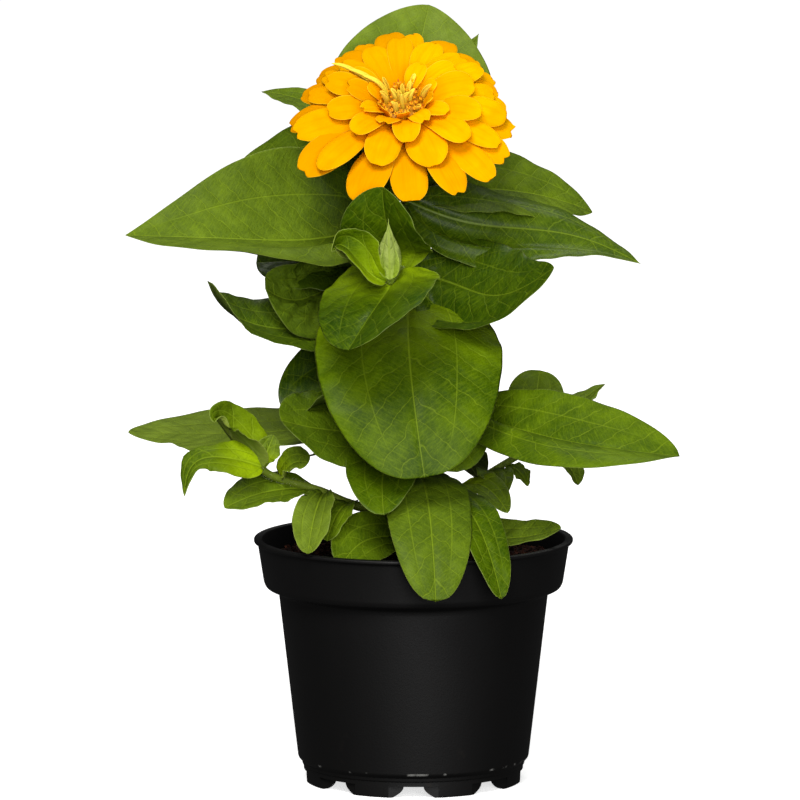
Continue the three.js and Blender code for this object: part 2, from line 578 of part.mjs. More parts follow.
const bloom = new THREE.Group();
bloom.position.copy(BLOOM_CENTRE);
bloom.rotation.x = radians(BLOOM_NOD);
bloom.add(piece('bloom_bracts', bracts(), GREEN, 0.6));
bloom.add(piece('ray_petals', rayPetals(), YELLOW, 0.5));
bloom.add(piece('disc_florets', discFlorets(), ORANGE, 0.6));
zinnia.add(bloom);

export default zinnia;
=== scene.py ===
# %% [markdown]
# # A potted zinnia
# The real object is a young zinnia sold in flower: a black plastic nursery pot full of potting
# soil, a bushy plant with opposite leaves, and one double yellow bloom on top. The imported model
# already fixes where every part is and how large it is. This lesson gives each part its fine
# shape and its finish. Lengths are written in millimetres and turned into metres at the end.

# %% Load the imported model
import math
import random

import bpy
import numpy as np
from mathutils import Matrix, Vector, noise


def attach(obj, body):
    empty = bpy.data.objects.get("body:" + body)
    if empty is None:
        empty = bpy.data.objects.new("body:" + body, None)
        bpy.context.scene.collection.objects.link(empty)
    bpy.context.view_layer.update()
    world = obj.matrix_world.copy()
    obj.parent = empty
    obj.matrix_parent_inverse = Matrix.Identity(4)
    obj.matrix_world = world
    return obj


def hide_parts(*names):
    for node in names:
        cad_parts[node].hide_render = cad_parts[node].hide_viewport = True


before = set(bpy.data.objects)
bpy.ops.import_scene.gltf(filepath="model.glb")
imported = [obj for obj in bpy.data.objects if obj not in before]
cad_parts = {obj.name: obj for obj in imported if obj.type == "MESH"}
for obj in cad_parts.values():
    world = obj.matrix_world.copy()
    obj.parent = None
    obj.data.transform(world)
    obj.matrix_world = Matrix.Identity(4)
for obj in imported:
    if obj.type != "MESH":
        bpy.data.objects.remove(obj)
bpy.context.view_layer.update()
scene = bpy.context.scene
MM = 0.001
print("nodes:", ", ".join(sorted(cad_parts)))

# %% [markdown]
# ## Camera
# The photograph was taken from a little above the pot, from far away, so it has almost no
# perspective. A long lens at 2.4 m gives the same flat look. The camera looks along +Y, and its
# place follows from its target, its distance and its elevation.

# %% Camera
CAMERA_TARGET = Vector((-5.06, 0, 144)) * MM
CAMERA_DISTANCE = 2.4
CAMERA_ELEVATION = math.radians(7.4)
CAMERA_LENS = 288
SENSOR_WIDTH = 36


def show(name, data):
    """An object in the scene that carries the data."""
    shown = bpy.data.objects.new(name, data)
    scene.collection.objects.link(shown)
    return shown


camera_data = bpy.data.cameras.new("photo_camera")
camera_data.sensor_width = SENSOR_WIDTH
camera_data.lens = CAMERA_LENS
camera = show("photo_camera", camera_data)
look = Vector((0, math.cos(CAMERA_ELEVATION), -math.sin(CAMERA_ELEVATION)))
camera.location = CAMERA_TARGET - look * CAMERA_DISTANCE
camera.rotation_euler = (math.pi / 2 - CAMERA_ELEVATION, 0, 0)
scene.camera = camera
scene.view_settings.view_transform = "Standard"
print("camera at", [round(x, 3) for x in camera.location])

# %% [markdown]
# ## Node trees as expressions
# A finish is a tree of nodes, and a tree wired by hand is hard to read in a script. Here one
# small class wraps a socket, so that `0.5 * vein + grain` adds the Math nodes by itself. A second
# class holds the tree and makes every other kind of node with one method. Both work for
# materials and for Geometry Nodes, because the two share the same Math node.

# %% Sockets that add up


class Signal:
    """One output socket. Arithmetic on signals adds Math nodes to their tree."""

    def __init__(self, socket):
        self.socket = socket

    def math(self, operation, *others):
        return Board(self.socket.id_data).node(
            "ShaderNodeMath", {"operation": operation}, dict(enumerate([self, *others])))

    def __add__(self, other):
        return self.math("ADD", other)

    def __sub__(self, other):
        return self.math("SUBTRACT", other)

    def __mul__(self, other):
        return self.math("MULTIPLY", other)

    def __truediv__(self, other):
        return self.math("DIVIDE", other)

    def __pow__(self, other):
        return self.math("POWER", other)

    def __abs__(self):
        return self.math("ABSOLUTE")

    def __rsub__(self, other):
        return self.math("MULTIPLY_ADD", -1, other)

    __radd__ = __add__
    __rmul__ = __mul__


class Board:
    """A node tree, with one method that makes any node in it."""

    def __init__(self, tree):
        self.tree = tree

    def node(self, kind, settings=None, values=None, output=0):
        node = self.tree.nodes.new(kind)
        for name, value in (settings or {}).items():
            setattr(node, name, value)
        for key, value in (values or {}).items():
            if isinstance(value, Signal):
                self.tree.links.new(value.socket, node.inputs[key])
            else:
                node.inputs[key].default_value = value
        return Signal(node.outputs[output])

    def parts(self, vector):
        split = self.node("ShaderNodeSeparateXYZ", {}, {0: vector}).socket.node
        return [Signal(split.outputs[k]) for k in range(3)]

    def vector(self, x, y, z):
        return self.node("ShaderNodeCombineXYZ", {}, {0: x, 1: y, 2: z})


print("Signal and Board are ready")

# %% [markdown]
# ## Finishes
# Every material here is one Principled shader with the same few habits: a smooth step between
# two values, a thin line where a distance is near zero, a colour blend, grain from noise, and a
# bump. They are written once. Colours are given as they look on screen, from 0 to 255, and
# turned into the linear values that the shader wants.

# %% A material under construction


def colour(red, green, blue):
    """A colour on screen, 0 to 255, as linear light with full alpha (the sRGB curve)."""
    screen = [x / 255 for x in (red, green, blue)]
    return (*[x / 12.92 if x <= 0.04045 else ((x + 0.055) / 1.055) ** 2.4 for x in screen], 1)


def grey(level):
    return level, level, level, 1


class Finish(Board):
    """A material under construction: its tree and the Principled shader that ends it."""

    def __init__(self, name, **constants):
        self.material = bpy.data.materials.new(name)
        self.material.use_nodes = True
        super().__init__(self.material.node_tree)
        self.shader = self.tree.nodes["Principled BSDF"]
        for socket, value in constants.items():
            self.shader.inputs[socket.replace("_", " ")].default_value = value

    def feed(self, socket, signal):
        self.tree.links.new(signal.socket, self.shader.inputs[socket])

    def attribute(self, name):
        return self.node("ShaderNodeAttribute", {"attribute_name": name}, {}, "Vector")

    def blade_signals(self):
        """What a blade tells its finish: its grid place, its growth and its look, three numbers each."""
        return [self.parts(self.attribute(name)) for name in ("blade", "growth", "look")]

    def place(self):
        return self.node("ShaderNodeTexCoord", {}, {}, "Object")

    def step(self, value, low, high):
        return self.node("ShaderNodeMapRange", {"interpolation_type": "SMOOTHSTEP"},
                         {"Value": value, "From Min": low, "From Max": high})

    def line(self, distance, half_width):
        return 1 - self.step(distance, half_width * 0.5, half_width * 1.5)

    def blend(self, share, first, second):
        return self.node("ShaderNodeMix", {"data_type": "RGBA"}, {0: share, 6: first, 7: second}, 2)

    def paint(self, ground, *layers):
        """Lays colours over a ground, one after the other. A layer is its share and its colour."""
        for share, tone in layers:
            ground = self.blend(share, ground, colour(*tone))
        return ground

    def grain(self, place, scale, detail=3.0):
        return self.node("ShaderNodeTexNoise", {}, {"Vector": place, "Scale": scale, "Detail": detail})

    def cells(self, place, scale):
        return self.node("ShaderNodeTexVoronoi", {"feature": "DISTANCE_TO_EDGE"},
                         {"Vector": place, "Scale": scale})

    def bump(self, height, distance, strength=1.0):
        self.feed("Normal", self.node("ShaderNodeBump", {},
                                      {"Height": height, "Distance": distance, "Strength": strength}))


print("finishes can be made; leaf green in linear light:", [round(x, 3) for x in colour(78, 97, 23)])

# %% [markdown]
# ## Light and floor
# The photograph is a cut-out on white, lit softly from the front and above. A large soft key
# light stands high on the left, a wide fill stands in front, and a weaker light comes from
# behind to brighten the edges of the leaves. The world is white where the camera sees it and
# nearly dark where it lights the plant, so that the black pot keeps its dark sides. The floor is
# a pale disc that grows whiter with the distance, so it has no visible edge. It is hidden from
# bounced and mirrored light, because a white floor would grey the pot and the undersides.

# %% Lights, world and floor


WORLD_ON_PLANT = 0.06
FLOOR_RADIUS = 9.0
FLOOR_SIDES = 64
FLOOR_FADE = (0.15, 1.2)
FLOOR_NEAR, FLOOR_FAR = 0.68, 0.95


def soft_light(name, place, size, power, tint):
    data = bpy.data.lights.new(name, "AREA")
    data.shape = "DISK"
    data.size = size
    data.energy = power
    data.color = tint
    light = show(name, data)
    light.location = place
    light.rotation_euler = (CAMERA_TARGET - Vector(place)).to_track_quat("-Z", "Y").to_euler()


def circle(radius, sides):
    turns = np.linspace(0, 2 * math.pi, sides, endpoint=False)
    return [(radius * math.cos(a), radius * math.sin(a)) for a in turns]


soft_light("key", (-0.4, -1.5, 1.7), 1.0, 40, (1, 0.985, 0.95))
soft_light("fill", (0.25, -2.0, 0.55), 1.2, 30, (1, 1, 1))
soft_light("back", (0.2, 1.0, 2.1), 1.2, 14, (1, 1, 0.97))

scene.world = scene.world or bpy.data.worlds.new("studio")
scene.world.use_nodes = True
sky = Board(scene.world.node_tree)
sky.tree.nodes.clear()
seen = sky.node("ShaderNodeLightPath", {}, {}, "Is Camera Ray")
background = sky.node("ShaderNodeBackground", {}, {
    "Color": grey(1), "Strength": seen * (1 - WORLD_ON_PLANT) + WORLD_ON_PLANT})
world_output = sky.tree.nodes.new("ShaderNodeOutputWorld")
sky.tree.links.new(background.socket, world_output.inputs["Surface"])

floor_mesh = bpy.data.meshes.new("floor")
floor_rim = [(x, y, 0) for x, y in circle(FLOOR_RADIUS, FLOOR_SIDES)]
floor_mesh.from_pydata(floor_rim, [], [list(range(FLOOR_SIDES))])
floor = show("floor", floor_mesh)
floor.visible_diffuse = False
floor.visible_glossy = False
floor_finish = Finish("pale_floor", Roughness=0.9, Specular_IOR_Level=0.1, Base_Color=grey(0.88),
                      Emission_Strength=1.0)
x, y, _ = floor_finish.parts(floor_finish.place())
away = (x * x + y * y) ** 0.5
floor_finish.feed("Emission Color", floor_finish.blend(
    floor_finish.step(away, *FLOOR_FADE), grey(FLOOR_NEAR), grey(FLOOR_FAR)))
floor_mesh.materials.append(floor_finish.material)
print("floor radius", FLOOR_RADIUS, "m")

# %% [markdown]
# ## One way to make every leaf and petal
# A leaf or a petal is a thin blade on a bent rib. It could be sculpted, but the plant has about
# fifty leaves and seventy petals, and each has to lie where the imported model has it. So a blade
# is a grid: `u` runs along the rib from base to tip, and `v` runs across it from margin to
# margin. The rib is a curve with three control points, and `snake` adds an S bend to it. Each
# half can fold up from the rib and curl on towards its margin. The numbers of a leaf are the
# same as in the source of the solids.

# %% The rib and the outline of a blade
PLAIN_BLADE = {
    "arch": 8, "sway": 0, "lean": 0, "roll": 0, "twist": 0, "fold": (12, 12), "curl": (0, 0),
    "peak": 0.42, "point": 0.75, "heading": None, "wave": 0.7, "quilt": 0.18, "notch": 0,
    # light is painted light on the finish; dark darkens it, and on the rays that darkening is painted shade
    "snake": (0, 0), "ridge": (0, 0, 0), "light": 0.3, "fresh": 0, "dark": 0,
}
STALK_SHARE = 0.12
TIP_HALF_WIDTH = 0.12


def blade(base, tip, width, **more):
    """One blade: where it starts, where it ends, its width, and how it differs from a plain one."""
    return {**PLAIN_BLADE, "base": base, "tip": tip, "width": width, **more}


def unit(vectors):
    return vectors / np.linalg.norm(vectors, axis=-1, keepdims=True)


def half_width(leaf, u):
    rise = leaf["point"] * leaf["peak"] / (1 - leaf["peak"])
    widest = leaf["peak"] ** rise * (1 - leaf["peak"]) ** leaf["point"]
    outline = u ** rise * (1 - u) ** leaf["point"] / widest
    stalk = STALK_SHARE * (1 - u) ** 3
    return np.maximum(leaf["width"] / 2 * np.maximum(outline, stalk), TIP_HALF_WIDTH)


def rib_frame(leaf, u):
    base, tip = np.array(leaf["base"], float), np.array(leaf["tip"], float)
    chord = unit(tip - base)
    heading = leaf["heading"]
    bearing = math.atan2(chord[1], chord[0]) if heading is None else math.radians(heading)
    level = np.array([-math.sin(bearing), math.cos(bearing), 0])
    rise = unit(np.cross(chord, level))
    middle = (base + tip) / 2 + 2 * leaf["arch"] * rise + 2 * leaf["sway"] * level + leaf["lean"] * chord
    t = u[:, None]
    snake = leaf["snake"][0] * rise + leaf["snake"][1] * level
    rib = (1 - t) ** 2 * base + 2 * t * (1 - t) * middle + t * t * tip + np.sin(2 * np.pi * t) * snake
    forward = unit(2 * (1 - t) * (middle - base) + 2 * t * (tip - middle)
                   + 2 * np.pi * np.cos(2 * np.pi * t) * snake)
    flat_side = unit(level - (forward @ level)[:, None] * forward)
    flat_up = np.cross(forward, flat_side)
    turn = np.radians(leaf["roll"] + leaf["twist"] * (u - 0.5))[:, None]
    side = flat_side * np.cos(turn) + flat_up * np.sin(turn)
    up = flat_up * np.cos(turn) - flat_side * np.sin(turn)
    return rib, forward, side, up


print("a plain blade is widest at", PLAIN_BLADE["peak"], "of its length")

# %% [markdown]
# ## Relief on the blade
# A zinnia leaf is not smooth. Its midrib and one long vein on each side of it lie in grooves,
# the blade puffs up a little between the side veins, and the margin waves. `ridge` raises one
# soft crest where a leaf has a single large crease. A petal has two shallow grooves along it and
# a small notch at its end. A displacement texture could do this, but real vertices keep the
# relief in the mesh itself, so it is worked out here.

# %% Relief, thickness and the closed blade
LONG_VEIN = 0.5
VEIN_SLANT = 0.95
VEIN_SPACING = 8.5
PILLOW_TURN = 1.1
PETAL_GROOVE = 0.32
EVEN_ROWS = 0.35
FOLD_FADE = 0.35
RIDGE_ACROSS, RIDGE_ALONG = 0.18, 0.28


def dip(distance, depth, reach):
    """A rounded groove, as deep as `depth` where the distance is zero."""
    return -depth * np.exp(-(distance / reach) ** 2)


def leaf_relief(leaf, u, v, width, length, phase):
    out = np.abs(v)
    from_rib = out * width
    swell = 1 - (2 * u - 1) ** 4
    midrib = dip(from_rib, depth=0.55 * (1 - u) ** 0.5, reach=1.1)
    long_vein = dip((out - LONG_VEIN) * width, depth=0.28, reach=1.0) * swell
    crossing = (u * length - VEIN_SLANT * from_rib) / VEIN_SPACING + phase
    pillow = 0.65 + 0.35 * np.sin(from_rib * PILLOW_TURN + 9 * phase + 5 * u)
    puff = leaf["quilt"] * np.abs(np.cos(np.pi * crossing)) * pillow
    puff *= np.minimum(from_rib / 4, 1) * (1 - out ** 4)
    ripple = 2 * np.pi * (2.6 * u + phase) + np.where(v > 0, 0, 1.7)
    wave = leaf["wave"] * (np.sin(ripple) + 0.4 * np.sin(2.7 * ripple + phase)) * out ** 2.5
    return midrib + long_vein + (puff + wave) * swell


def petal_relief(leaf, u, v, width, length, phase):
    out = np.abs(v)
    grooves = dip((out - PETAL_GROOVE) * width, depth=0.18, reach=0.9)
    ribs = 0.05 * np.cos(2 * np.pi * v * width / 1.3 + phase)
    ripple = 2 * np.pi * (1.6 * u + phase) + np.where(v > 0, 0, 2.1)
    wave = leaf["wave"] * np.sin(ripple) * out ** 2
    return (grooves + ribs) * np.minimum(4 * u, 1) * (1 - u ** 6) + wave * u


def blade_grid(leaf, rows, columns, thickness, relief, seed):
    """Upper and lower points of a blade, with what the finishes need to know at each point."""
    # rows crowd towards both ends, and columns towards the margins
    s = np.linspace(0, 1, rows + 1)
    u = EVEN_ROWS * s + (1 - EVEN_ROWS) * (0.5 - 0.5 * np.cos(np.pi * s))
    t = np.linspace(-1, 1, columns - 1)
    v = np.concatenate([[-1], t * (0.72 + 0.255 * t * t), [1]])
    rib, forward, side, up = rib_frame(leaf, u)
    width = half_width(leaf, u)[:, None]
    uu, vv = u[:, None] + 0 * v, 0 * u[:, None] + v
    out, left = np.abs(vv), vv > 0
    # each half rises at its fold angle and bends on along an arc; 0.001 keeps a flat one from 0 / 0
    fold = np.radians(np.where(left, *leaf["fold"])) * (1 - FOLD_FADE * uu)
    bend = np.radians(np.where(left, *leaf["curl"])) * (1 - (2 * uu - 1) ** 4)
    bend = np.where(np.abs(bend) < 1e-3, 1e-3, bend)
    across = np.sign(vv) * (np.sin(fold + bend * out) - np.sin(fold)) / bend * width
    above = (np.cos(fold) - np.cos(fold + bend * out)) / bend * width
    sheet = rib[:, None] + side[:, None] * across[..., None] + up[:, None] * above[..., None]
    # the notch pulls the tip back in the middle, and a little more between its lobes
    dent = np.exp(-(across / (leaf["width"] * 0.11)) ** 2) + 0.35 * np.cos(across / leaf["width"] * 18)
    sheet -= forward[:, None] * (leaf["notch"] * dent * uu ** 10)[..., None]
    # relief and ridge stand on the sheet, and the thickness thins out to nothing at the edge
    normal = unit(np.cross(np.gradient(sheet, axis=0), np.gradient(sheet, axis=1)) + 1e-12)
    length = np.linalg.norm(rib[-1] - rib[0])
    crest, place, start = leaf["ridge"]
    fall = np.exp(-((vv - place) / RIDGE_ACROSS) ** 2 - ((uu - start) / RIDGE_ALONG) ** 2)
    sheet += normal * (relief(leaf, uu, vv, width, length, seed) + crest * fall)[..., None]
    edge = np.sqrt(np.clip((1 - out ** 10) * (1 - uu ** 30) * (1 - (1 - uu) ** 30), 0, 1))
    shift = normal * (thickness / 2 * edge)[..., None]
    about = np.stack([uu, vv, width + 0 * vv], -1)
    return sheet + shift, sheet - shift, about, length


class Blades:
    """Collects closed blades into one mesh, with three attributes that their finish reads."""

    def __init__(self):
        self.points, self.quads, self.blade, self.growth, self.look = [], [], [], [], []
        self.count = 0

    def add(self, leaf, grid, thickness, relief, seed, turn=None):
        rows, columns = grid
        upper, lower, about, length = blade_grid(leaf, rows, columns, thickness, relief, seed)
        wide = columns + 1
        number = np.arange((rows + 1) * wide).reshape(rows + 1, wide)
        inside = np.zeros_like(number, bool)
        inside[1:-1, 1:-1] = True
        under = number.copy()
        under[inside] = number.size + np.arange(inside.sum())
        a, b, c, d = number[:-1, :-1], number[:-1, 1:], number[1:, 1:], number[1:, :-1]
        above = np.stack([a, d, c, b], -1).reshape(-1, 4)
        a, b, c, d = under[:-1, :-1], under[:-1, 1:], under[1:, 1:], under[1:, :-1]
        below = np.stack([a, b, c, d], -1).reshape(-1, 4)
        points = np.concatenate([upper.reshape(-1, 3), lower[inside]])
        side = np.concatenate([np.where(inside, 1, 0.5).ravel(), np.zeros(inside.sum())])
        if turn is not None:
            points = points @ np.array(turn.to_3x3()).T + np.array(turn.translation)
        self.quads.append(np.concatenate([above, below]) + self.count)
        self.points.append(points)
        self.blade.append(np.concatenate([about.reshape(-1, 3), about[inside]]))
        self.growth.append(np.stack([0 * side + length, 0 * side + seed, side], -1))
        # look: the blade's painted light, its freshness and its darkness
        self.look.append(np.tile([leaf["light"], leaf["fresh"], leaf["dark"]], (len(side), 1)))
        self.count += len(points)

    def mesh(self, name):
        attributes = {"blade": self.blade, "growth": self.growth, "look": self.look}
        return quad_mesh(name, np.concatenate(self.points), np.concatenate(self.quads),
                         {key: np.concatenate(value) for key, value in attributes.items()})


def plain_mesh(name, points, faces, edges=()):
    """A mesh of points that are given in millimetres."""
    mesh = bpy.data.meshes.new(name)
    mesh.from_pydata([Vector(p) * MM for p in points], edges, faces)
    return mesh


def quad_mesh(name, points, quads, attributes):
    """The same for large arrays of quads, with attributes at the points."""
    mesh = bpy.data.meshes.new(name)
    mesh.vertices.add(len(points))
    mesh.vertices.foreach_set("co", (points * MM).ravel())
    mesh.loops.add(quads.size)
    mesh.loops.foreach_set("vertex_index", quads.ravel().astype(np.int32))
    mesh.polygons.add(len(quads))
    mesh.polygons.foreach_set("loop_start", np.arange(0, quads.size, 4, dtype=np.int32))
    for key, values in attributes.items():
        layer = mesh.attributes.new(key, "FLOAT_VECTOR", "POINT")
        layer.data.foreach_set("vector", values.astype(np.float32).ravel())
    mesh.update(calc_edges=True)
    mesh.validate()
    return mesh


def dress(name, mesh, finish, slot, *nodes):
    """Makes a finished piece of a mesh: smooth, dressed, and standing for its solids."""
    piece = show(name, mesh)
    mesh.materials.clear()
    mesh.materials.append(finish.material)
    mesh.shade_smooth()
    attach(piece, "root")
    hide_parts(*nodes)
    triangles = sum(len(p.vertices) - 2 for p in mesh.polygons)
    print(f"{name}: {triangles} triangles")


print("blades can be made")

# %% [markdown]
# ## Leaf green
# The upper face of a zinnia leaf is satin and full green, a little blotched, with pale thin
# veins: the midrib, one long vein on each side, side veins that lean forward, and a fine net
# between them. The underside is paler and matt. The darkest leaves shine most, so a thin coat
# grows with their darkness. Young leaves turn yellow-green towards their base. The veins follow
# the leaf, so the finish reads the blade's own `u` and `v` instead of a place in space. The same
# material serves every leaf: `look` says how light, how fresh and how dark each one is. `light`
# is a painted highlight, a pale sheen that grows towards the tip, and a light above 1 gives the
# pale green of a closed bud. Painted shade darkens each leaf towards its base and in the valleys
# along its side veins, and the pale margin is partly fine hairs and partly a painted highlight.

# %% Leaf finish


def leaf_finish(name):
    finish = Finish(name, Specular_IOR_Level=0.05, Coat_Roughness=0.3)
    (u, v, width), (length, seed, side), (light, fresh, dark) = finish.blade_signals()
    out = abs(v)
    from_rib = out * width
    along = u * length
    upper = finish.step(side, 0.3, 0.7)
    paper = finish.vector(along, v * width, seed * 60)
    sway = finish.grain(paper, 0.12, 2.0)

    midrib = finish.line(from_rib, 0.2 + 0.4 * (1 - u))
    long_vein = finish.line(abs(out - LONG_VEIN) * width, 0.3) * finish.step(u, 0.02, 0.15)
    long_vein = long_vein * (1 - finish.step(u, 0.75, 0.98))
    crossing = (along - VEIN_SLANT * from_rib) / VEIN_SPACING + seed + sway * 0.9
    to_side_vein = abs(crossing.math("FRACT") - 0.5) * VEIN_SPACING * 0.7
    side_vein = finish.line(to_side_vein, 0.2) * (1 - finish.step(out, 0.8, 0.97))
    fine_crossing = (along * 1.3 + from_rib * 0.8) / 3.1 + sway * 2.2 + seed * 3
    fine_vein = finish.line(abs(fine_crossing.math("FRACT") - 0.5) * 3.1, 0.16)
    net = finish.line(finish.cells(paper, 0.62), 0.09)
    big_veins = (midrib * 0.85).math("MAXIMUM", long_vein * 0.55)
    veins = big_veins.math("MAXIMUM", side_vein * 0.55).math("MAXIMUM", fine_vein * 0.22)
    veins = veins.math("MAXIMUM", net * 0.14)

    blotch = finish.step(finish.grain(paper, 0.09, 4.0), 0.35, 0.68)
    fibres = finish.grain(finish.vector(along * 1.5 + from_rib * 0.9, v * width * 0.3, seed * 60), 1.0, 4.0)
    speck = finish.grain(paper, 1.9, 2.0)
    puff = finish.step(to_side_vein, 0, VEIN_SPACING * 0.35)
    green = finish.paint(
        finish.blend(blotch, colour(61, 86, 0), colour(86, 111, 0)),
        # painted highlight: a pale sheen that grows towards the tip
        (light * finish.step(u, -0.2, 0.6), (126, 146, 50)),
        ((1 - blotch) * 0.25, (44, 68, 0)),
        (dark, (24, 54, 2)),
        (fresh * finish.step(1 - u, 0.35, 1.0), (158, 186, 10)),
        # painted shade: darker towards the base of the leaf
        ((1 - finish.step(u, 0.05, 0.6)) * 0.42 * (1 - fresh), (26, 46, 1)),
        (light - 1, (190, 204, 120)),
        # painted shade: darker in the valleys along the side veins
        ((1 - puff) * (0.12 + 0.35 * dark), (34, 58, 0)),
        (finish.step(fibres, 0.45, 0.7) * 0.2, (126, 152, 10)),
        (finish.step(speck, 0.35, 0.75) * 0.15, (30, 48, 0)),
        (veins * (0.55 - 0.28 * dark), (138, 162, 34)))
    reverse = finish.paint(
        finish.blend(blotch, colour(74, 94, 24), colour(96, 114, 40)),
        (fresh * 0.5, (160, 176, 60)), (veins * 0.6, (150, 164, 92)))
    # pale margin: partly fine hairs, partly a painted highlight
    margin = finish.line((1 - out) * width, 0.22)
    whole = finish.blend(upper, reverse, green)
    finish.feed("Base Color", finish.blend(margin * 0.35, whole, colour(158, 172, 88)))
    finish.feed("Roughness", 0.62 - upper * (0.16 + 0.1 * dark) + speck * 0.1)
    finish.feed("Coat Weight", upper * (0.03 + 0.32 * dark))
    height = finish.grain(paper, 0.9, 3.0) * 0.6 + fibres * 0.7 - veins * (upper * 2 - 1) + puff * 0.7
    finish.bump(height, 0.0005, 0.7)
    return finish


leaf_green = leaf_finish("leaf_green")
print("leaf finish has", len(leaf_green.tree.nodes), "nodes")

# %% [markdown]
# ## The leaves on the main stem
# Zinnia leaves stand in opposite pairs straight on the stem, and each pair is turned from the
# last. The table below repeats the places and bends of the solid leaves. Large leaves get a
# finer grid than small ones. They are collected into four pieces by height, so that each mesh
# stays light enough to export.

# %% Leaves of the main stem
UPPER_LEAVES = [
    blade((-8, 1.3, 213.1), (-107, -18.1, 208), 72, arch=-6.1, sway=-1.36, lean=-14, roll=-39.6,
          twist=18.8, fold=(25.3, 18.9), curl=(21.9, 32.6), snake=(-1.91, -5.9), peak=0.42, point=0.96,
          ridge=(4, 0.5, 0.35), light=0.38, quilt=0.35),
    blade((-3, 1.7, 219.3), (85, 2.7, 195.1), 42.7, arch=0.61, sway=3.9, lean=-1.97, roll=42.3,
          twist=-33.7, fold=(33.2, -38.9), curl=(-74.1, 72.5), snake=(-2.7, -2.1), peak=0.41, point=1.2,
          ridge=(4, -0.6, 0.35), light=0.15, dark=0.4),
    blade((-3, 8, 219), (68, 38, 211), 42, arch=6, roll=34, fold=(15, 15), peak=0.45, point=0.8,
          light=0.3),
    blade((-4, 8, 219), (-73, 49, 219), 56, arch=6, sway=-4, roll=-44, fold=(15, 15), peak=0.45,
          point=0.8, ridge=(-3.5, 0.95, 0.22), light=0.2),
    blade((-4, 8, 224), (6, 48, 289), 64, arch=-4, sway=2, heading=90, peak=0.48, point=0.68, light=0.7),
    blade((-4, 6, 229), (-58, 60, 255), 26, arch=7, roll=-14, point=0.9),
    blade((-4, 6, 229), (25, 62, 277), 22, arch=3, point=1.1),
]
MIDDLE_LEAVES = [
    blade((-2, 0.6, 193.2), (51.5, -44.7, 198.9), 45.9, arch=-9.3, sway=2.3, lean=-7, roll=66, twist=-9.7,
          fold=(-8.9, 16.8), curl=(-25.3, 37.5), snake=(2, 2.6), peak=0.47, point=0.72,
          ridge=(-4, -0.5, 0.45), light=0.1, dark=0.6, quilt=0.8),
    blade((-2, 4.3, 192), (-55, -24.7, 188.8), 40.5, arch=-5, sway=-9.7, lean=1.5, roll=-54.6, twist=3.3,
          fold=(18.1, -1.77), curl=(-21.9, 101.1), snake=(2.8, -1), peak=0.41, point=0.38, light=0.35,
          dark=0.3, quilt=3.0),
    blade((-2, 4, 191), (-59, 6, 195), 40, arch=2, roll=-35, peak=0.55, point=0.5, dark=0.7, quilt=0.8),
    blade((-1, 2, 182), (4, -60, 123), 70, arch=17, sway=-4, fold=(6, 6), curl=(-20, -20), peak=0.46,
          point=0.42, light=0, fresh=0.4, dark=0.08),
    blade((-1, 3, 178), (-76, -28, 192), 28, arch=-14, lean=26, roll=-35, twist=60, fold=(15, 15),
          peak=0.5, point=0.42, dark=0.5),
    blade((-1, 3, 184), (7, 74, 162), 52, arch=10, peak=0.5, point=0.5),
]
LOWER_LEAVES = [
    blade((0, 2, 154), (-49, -12, 142), 42, arch=3, roll=-48, fold=(15, 15), curl=(90, 0), peak=0.45,
          point=0.55, light=0, dark=0.6),
    blade((0, 2, 134), (-49, -36, 141), 42, arch=-3, roll=-36, fold=(8, 8), curl=(-20, 0), peak=0.5,
          point=0.5, light=0.15, dark=0.25, quilt=0.6),
    blade((0, 2, 124), (-11, -58, 109), 29, arch=10, sway=-4, peak=0.55, point=0.5, light=0, dark=0.3),
    blade((1, 2.7, 137.7), (97.6, -54, 130.1), 38.9, arch=3.1, sway=-11.1, lean=-12.5, roll=30.8,
          twist=-20.9, fold=(31.8, 45.6), curl=(-1.46, -60), snake=(0.89, 4.2), peak=0.68, point=0.62,
          ridge=(4, -0.35, 0.2), light=0.05),
    blade((0, 4.9, 140.7), (-107.8, 17.6, 129.3), 48.8, arch=-4, sway=1.1, lean=16.7, roll=-11.6,
          twist=5.7, fold=(-3.8, -5.5), curl=(14.6, 17.8), snake=(-0.06, 6.5), peak=0.54, point=0.75,
          light=0.65),
    blade((1, 2, 149), (16, -38, 122), 34, arch=8, roll=10, fold=(8, 8), peak=0.55, point=0.45,
          light=0.1),
    blade((0, 3, 152), (30, 56, 151), 34),
    blade((0, 3, 149), (-37, 60, 147), 34),
]
LOWEST_LEAVES = [
    blade((0, 2, 114), (8, -72, 79), 32, arch=19, fold=(8, 8), curl=(-20, -20), peak=0.55, point=0.42,
          light=0.25),
    blade((0, 2, 105), (32, -66, 79), 19, arch=19, peak=0.6, point=0.55, light=0, dark=0.35),
    blade((0, 2.4, 96.3), (-27, -40, 87.5), 23.1, arch=3.2, sway=4.9, lean=-3.5, roll=-35.5, twist=12.6,
          fold=(22.6, 18.2), curl=(-17.7, 11.8), snake=(-2.2, 2.7), peak=0.67, point=0.5, light=0.1,
          dark=0.1),
    blade((0, 2, 100), (55, -24, 99), 19, arch=-6, roll=28, fold=(18, 18), peak=0.6, point=0.6,
          light=0.35),
    blade((0, 3, 123), (10, 82, 106), 36, arch=14, peak=0.5, point=0.5),
    blade((0, 3, 113), (26, 60, 105), 26, arch=10),
]
LEAF_THICKNESS = 0.5
LARGE_LEAF = 36
LARGE_GRID, SMALL_GRID = (56, 36), (34, 20)


def leaf_mesh(name, leaves, seed):
    draw = random.Random(seed)
    blades = Blades()
    for leaf in leaves:
        grid = LARGE_GRID if leaf["width"] >= LARGE_LEAF else SMALL_GRID
        blades.add(leaf, grid, LEAF_THICKNESS, leaf_relief, draw.random())
    return blades.mesh(name)


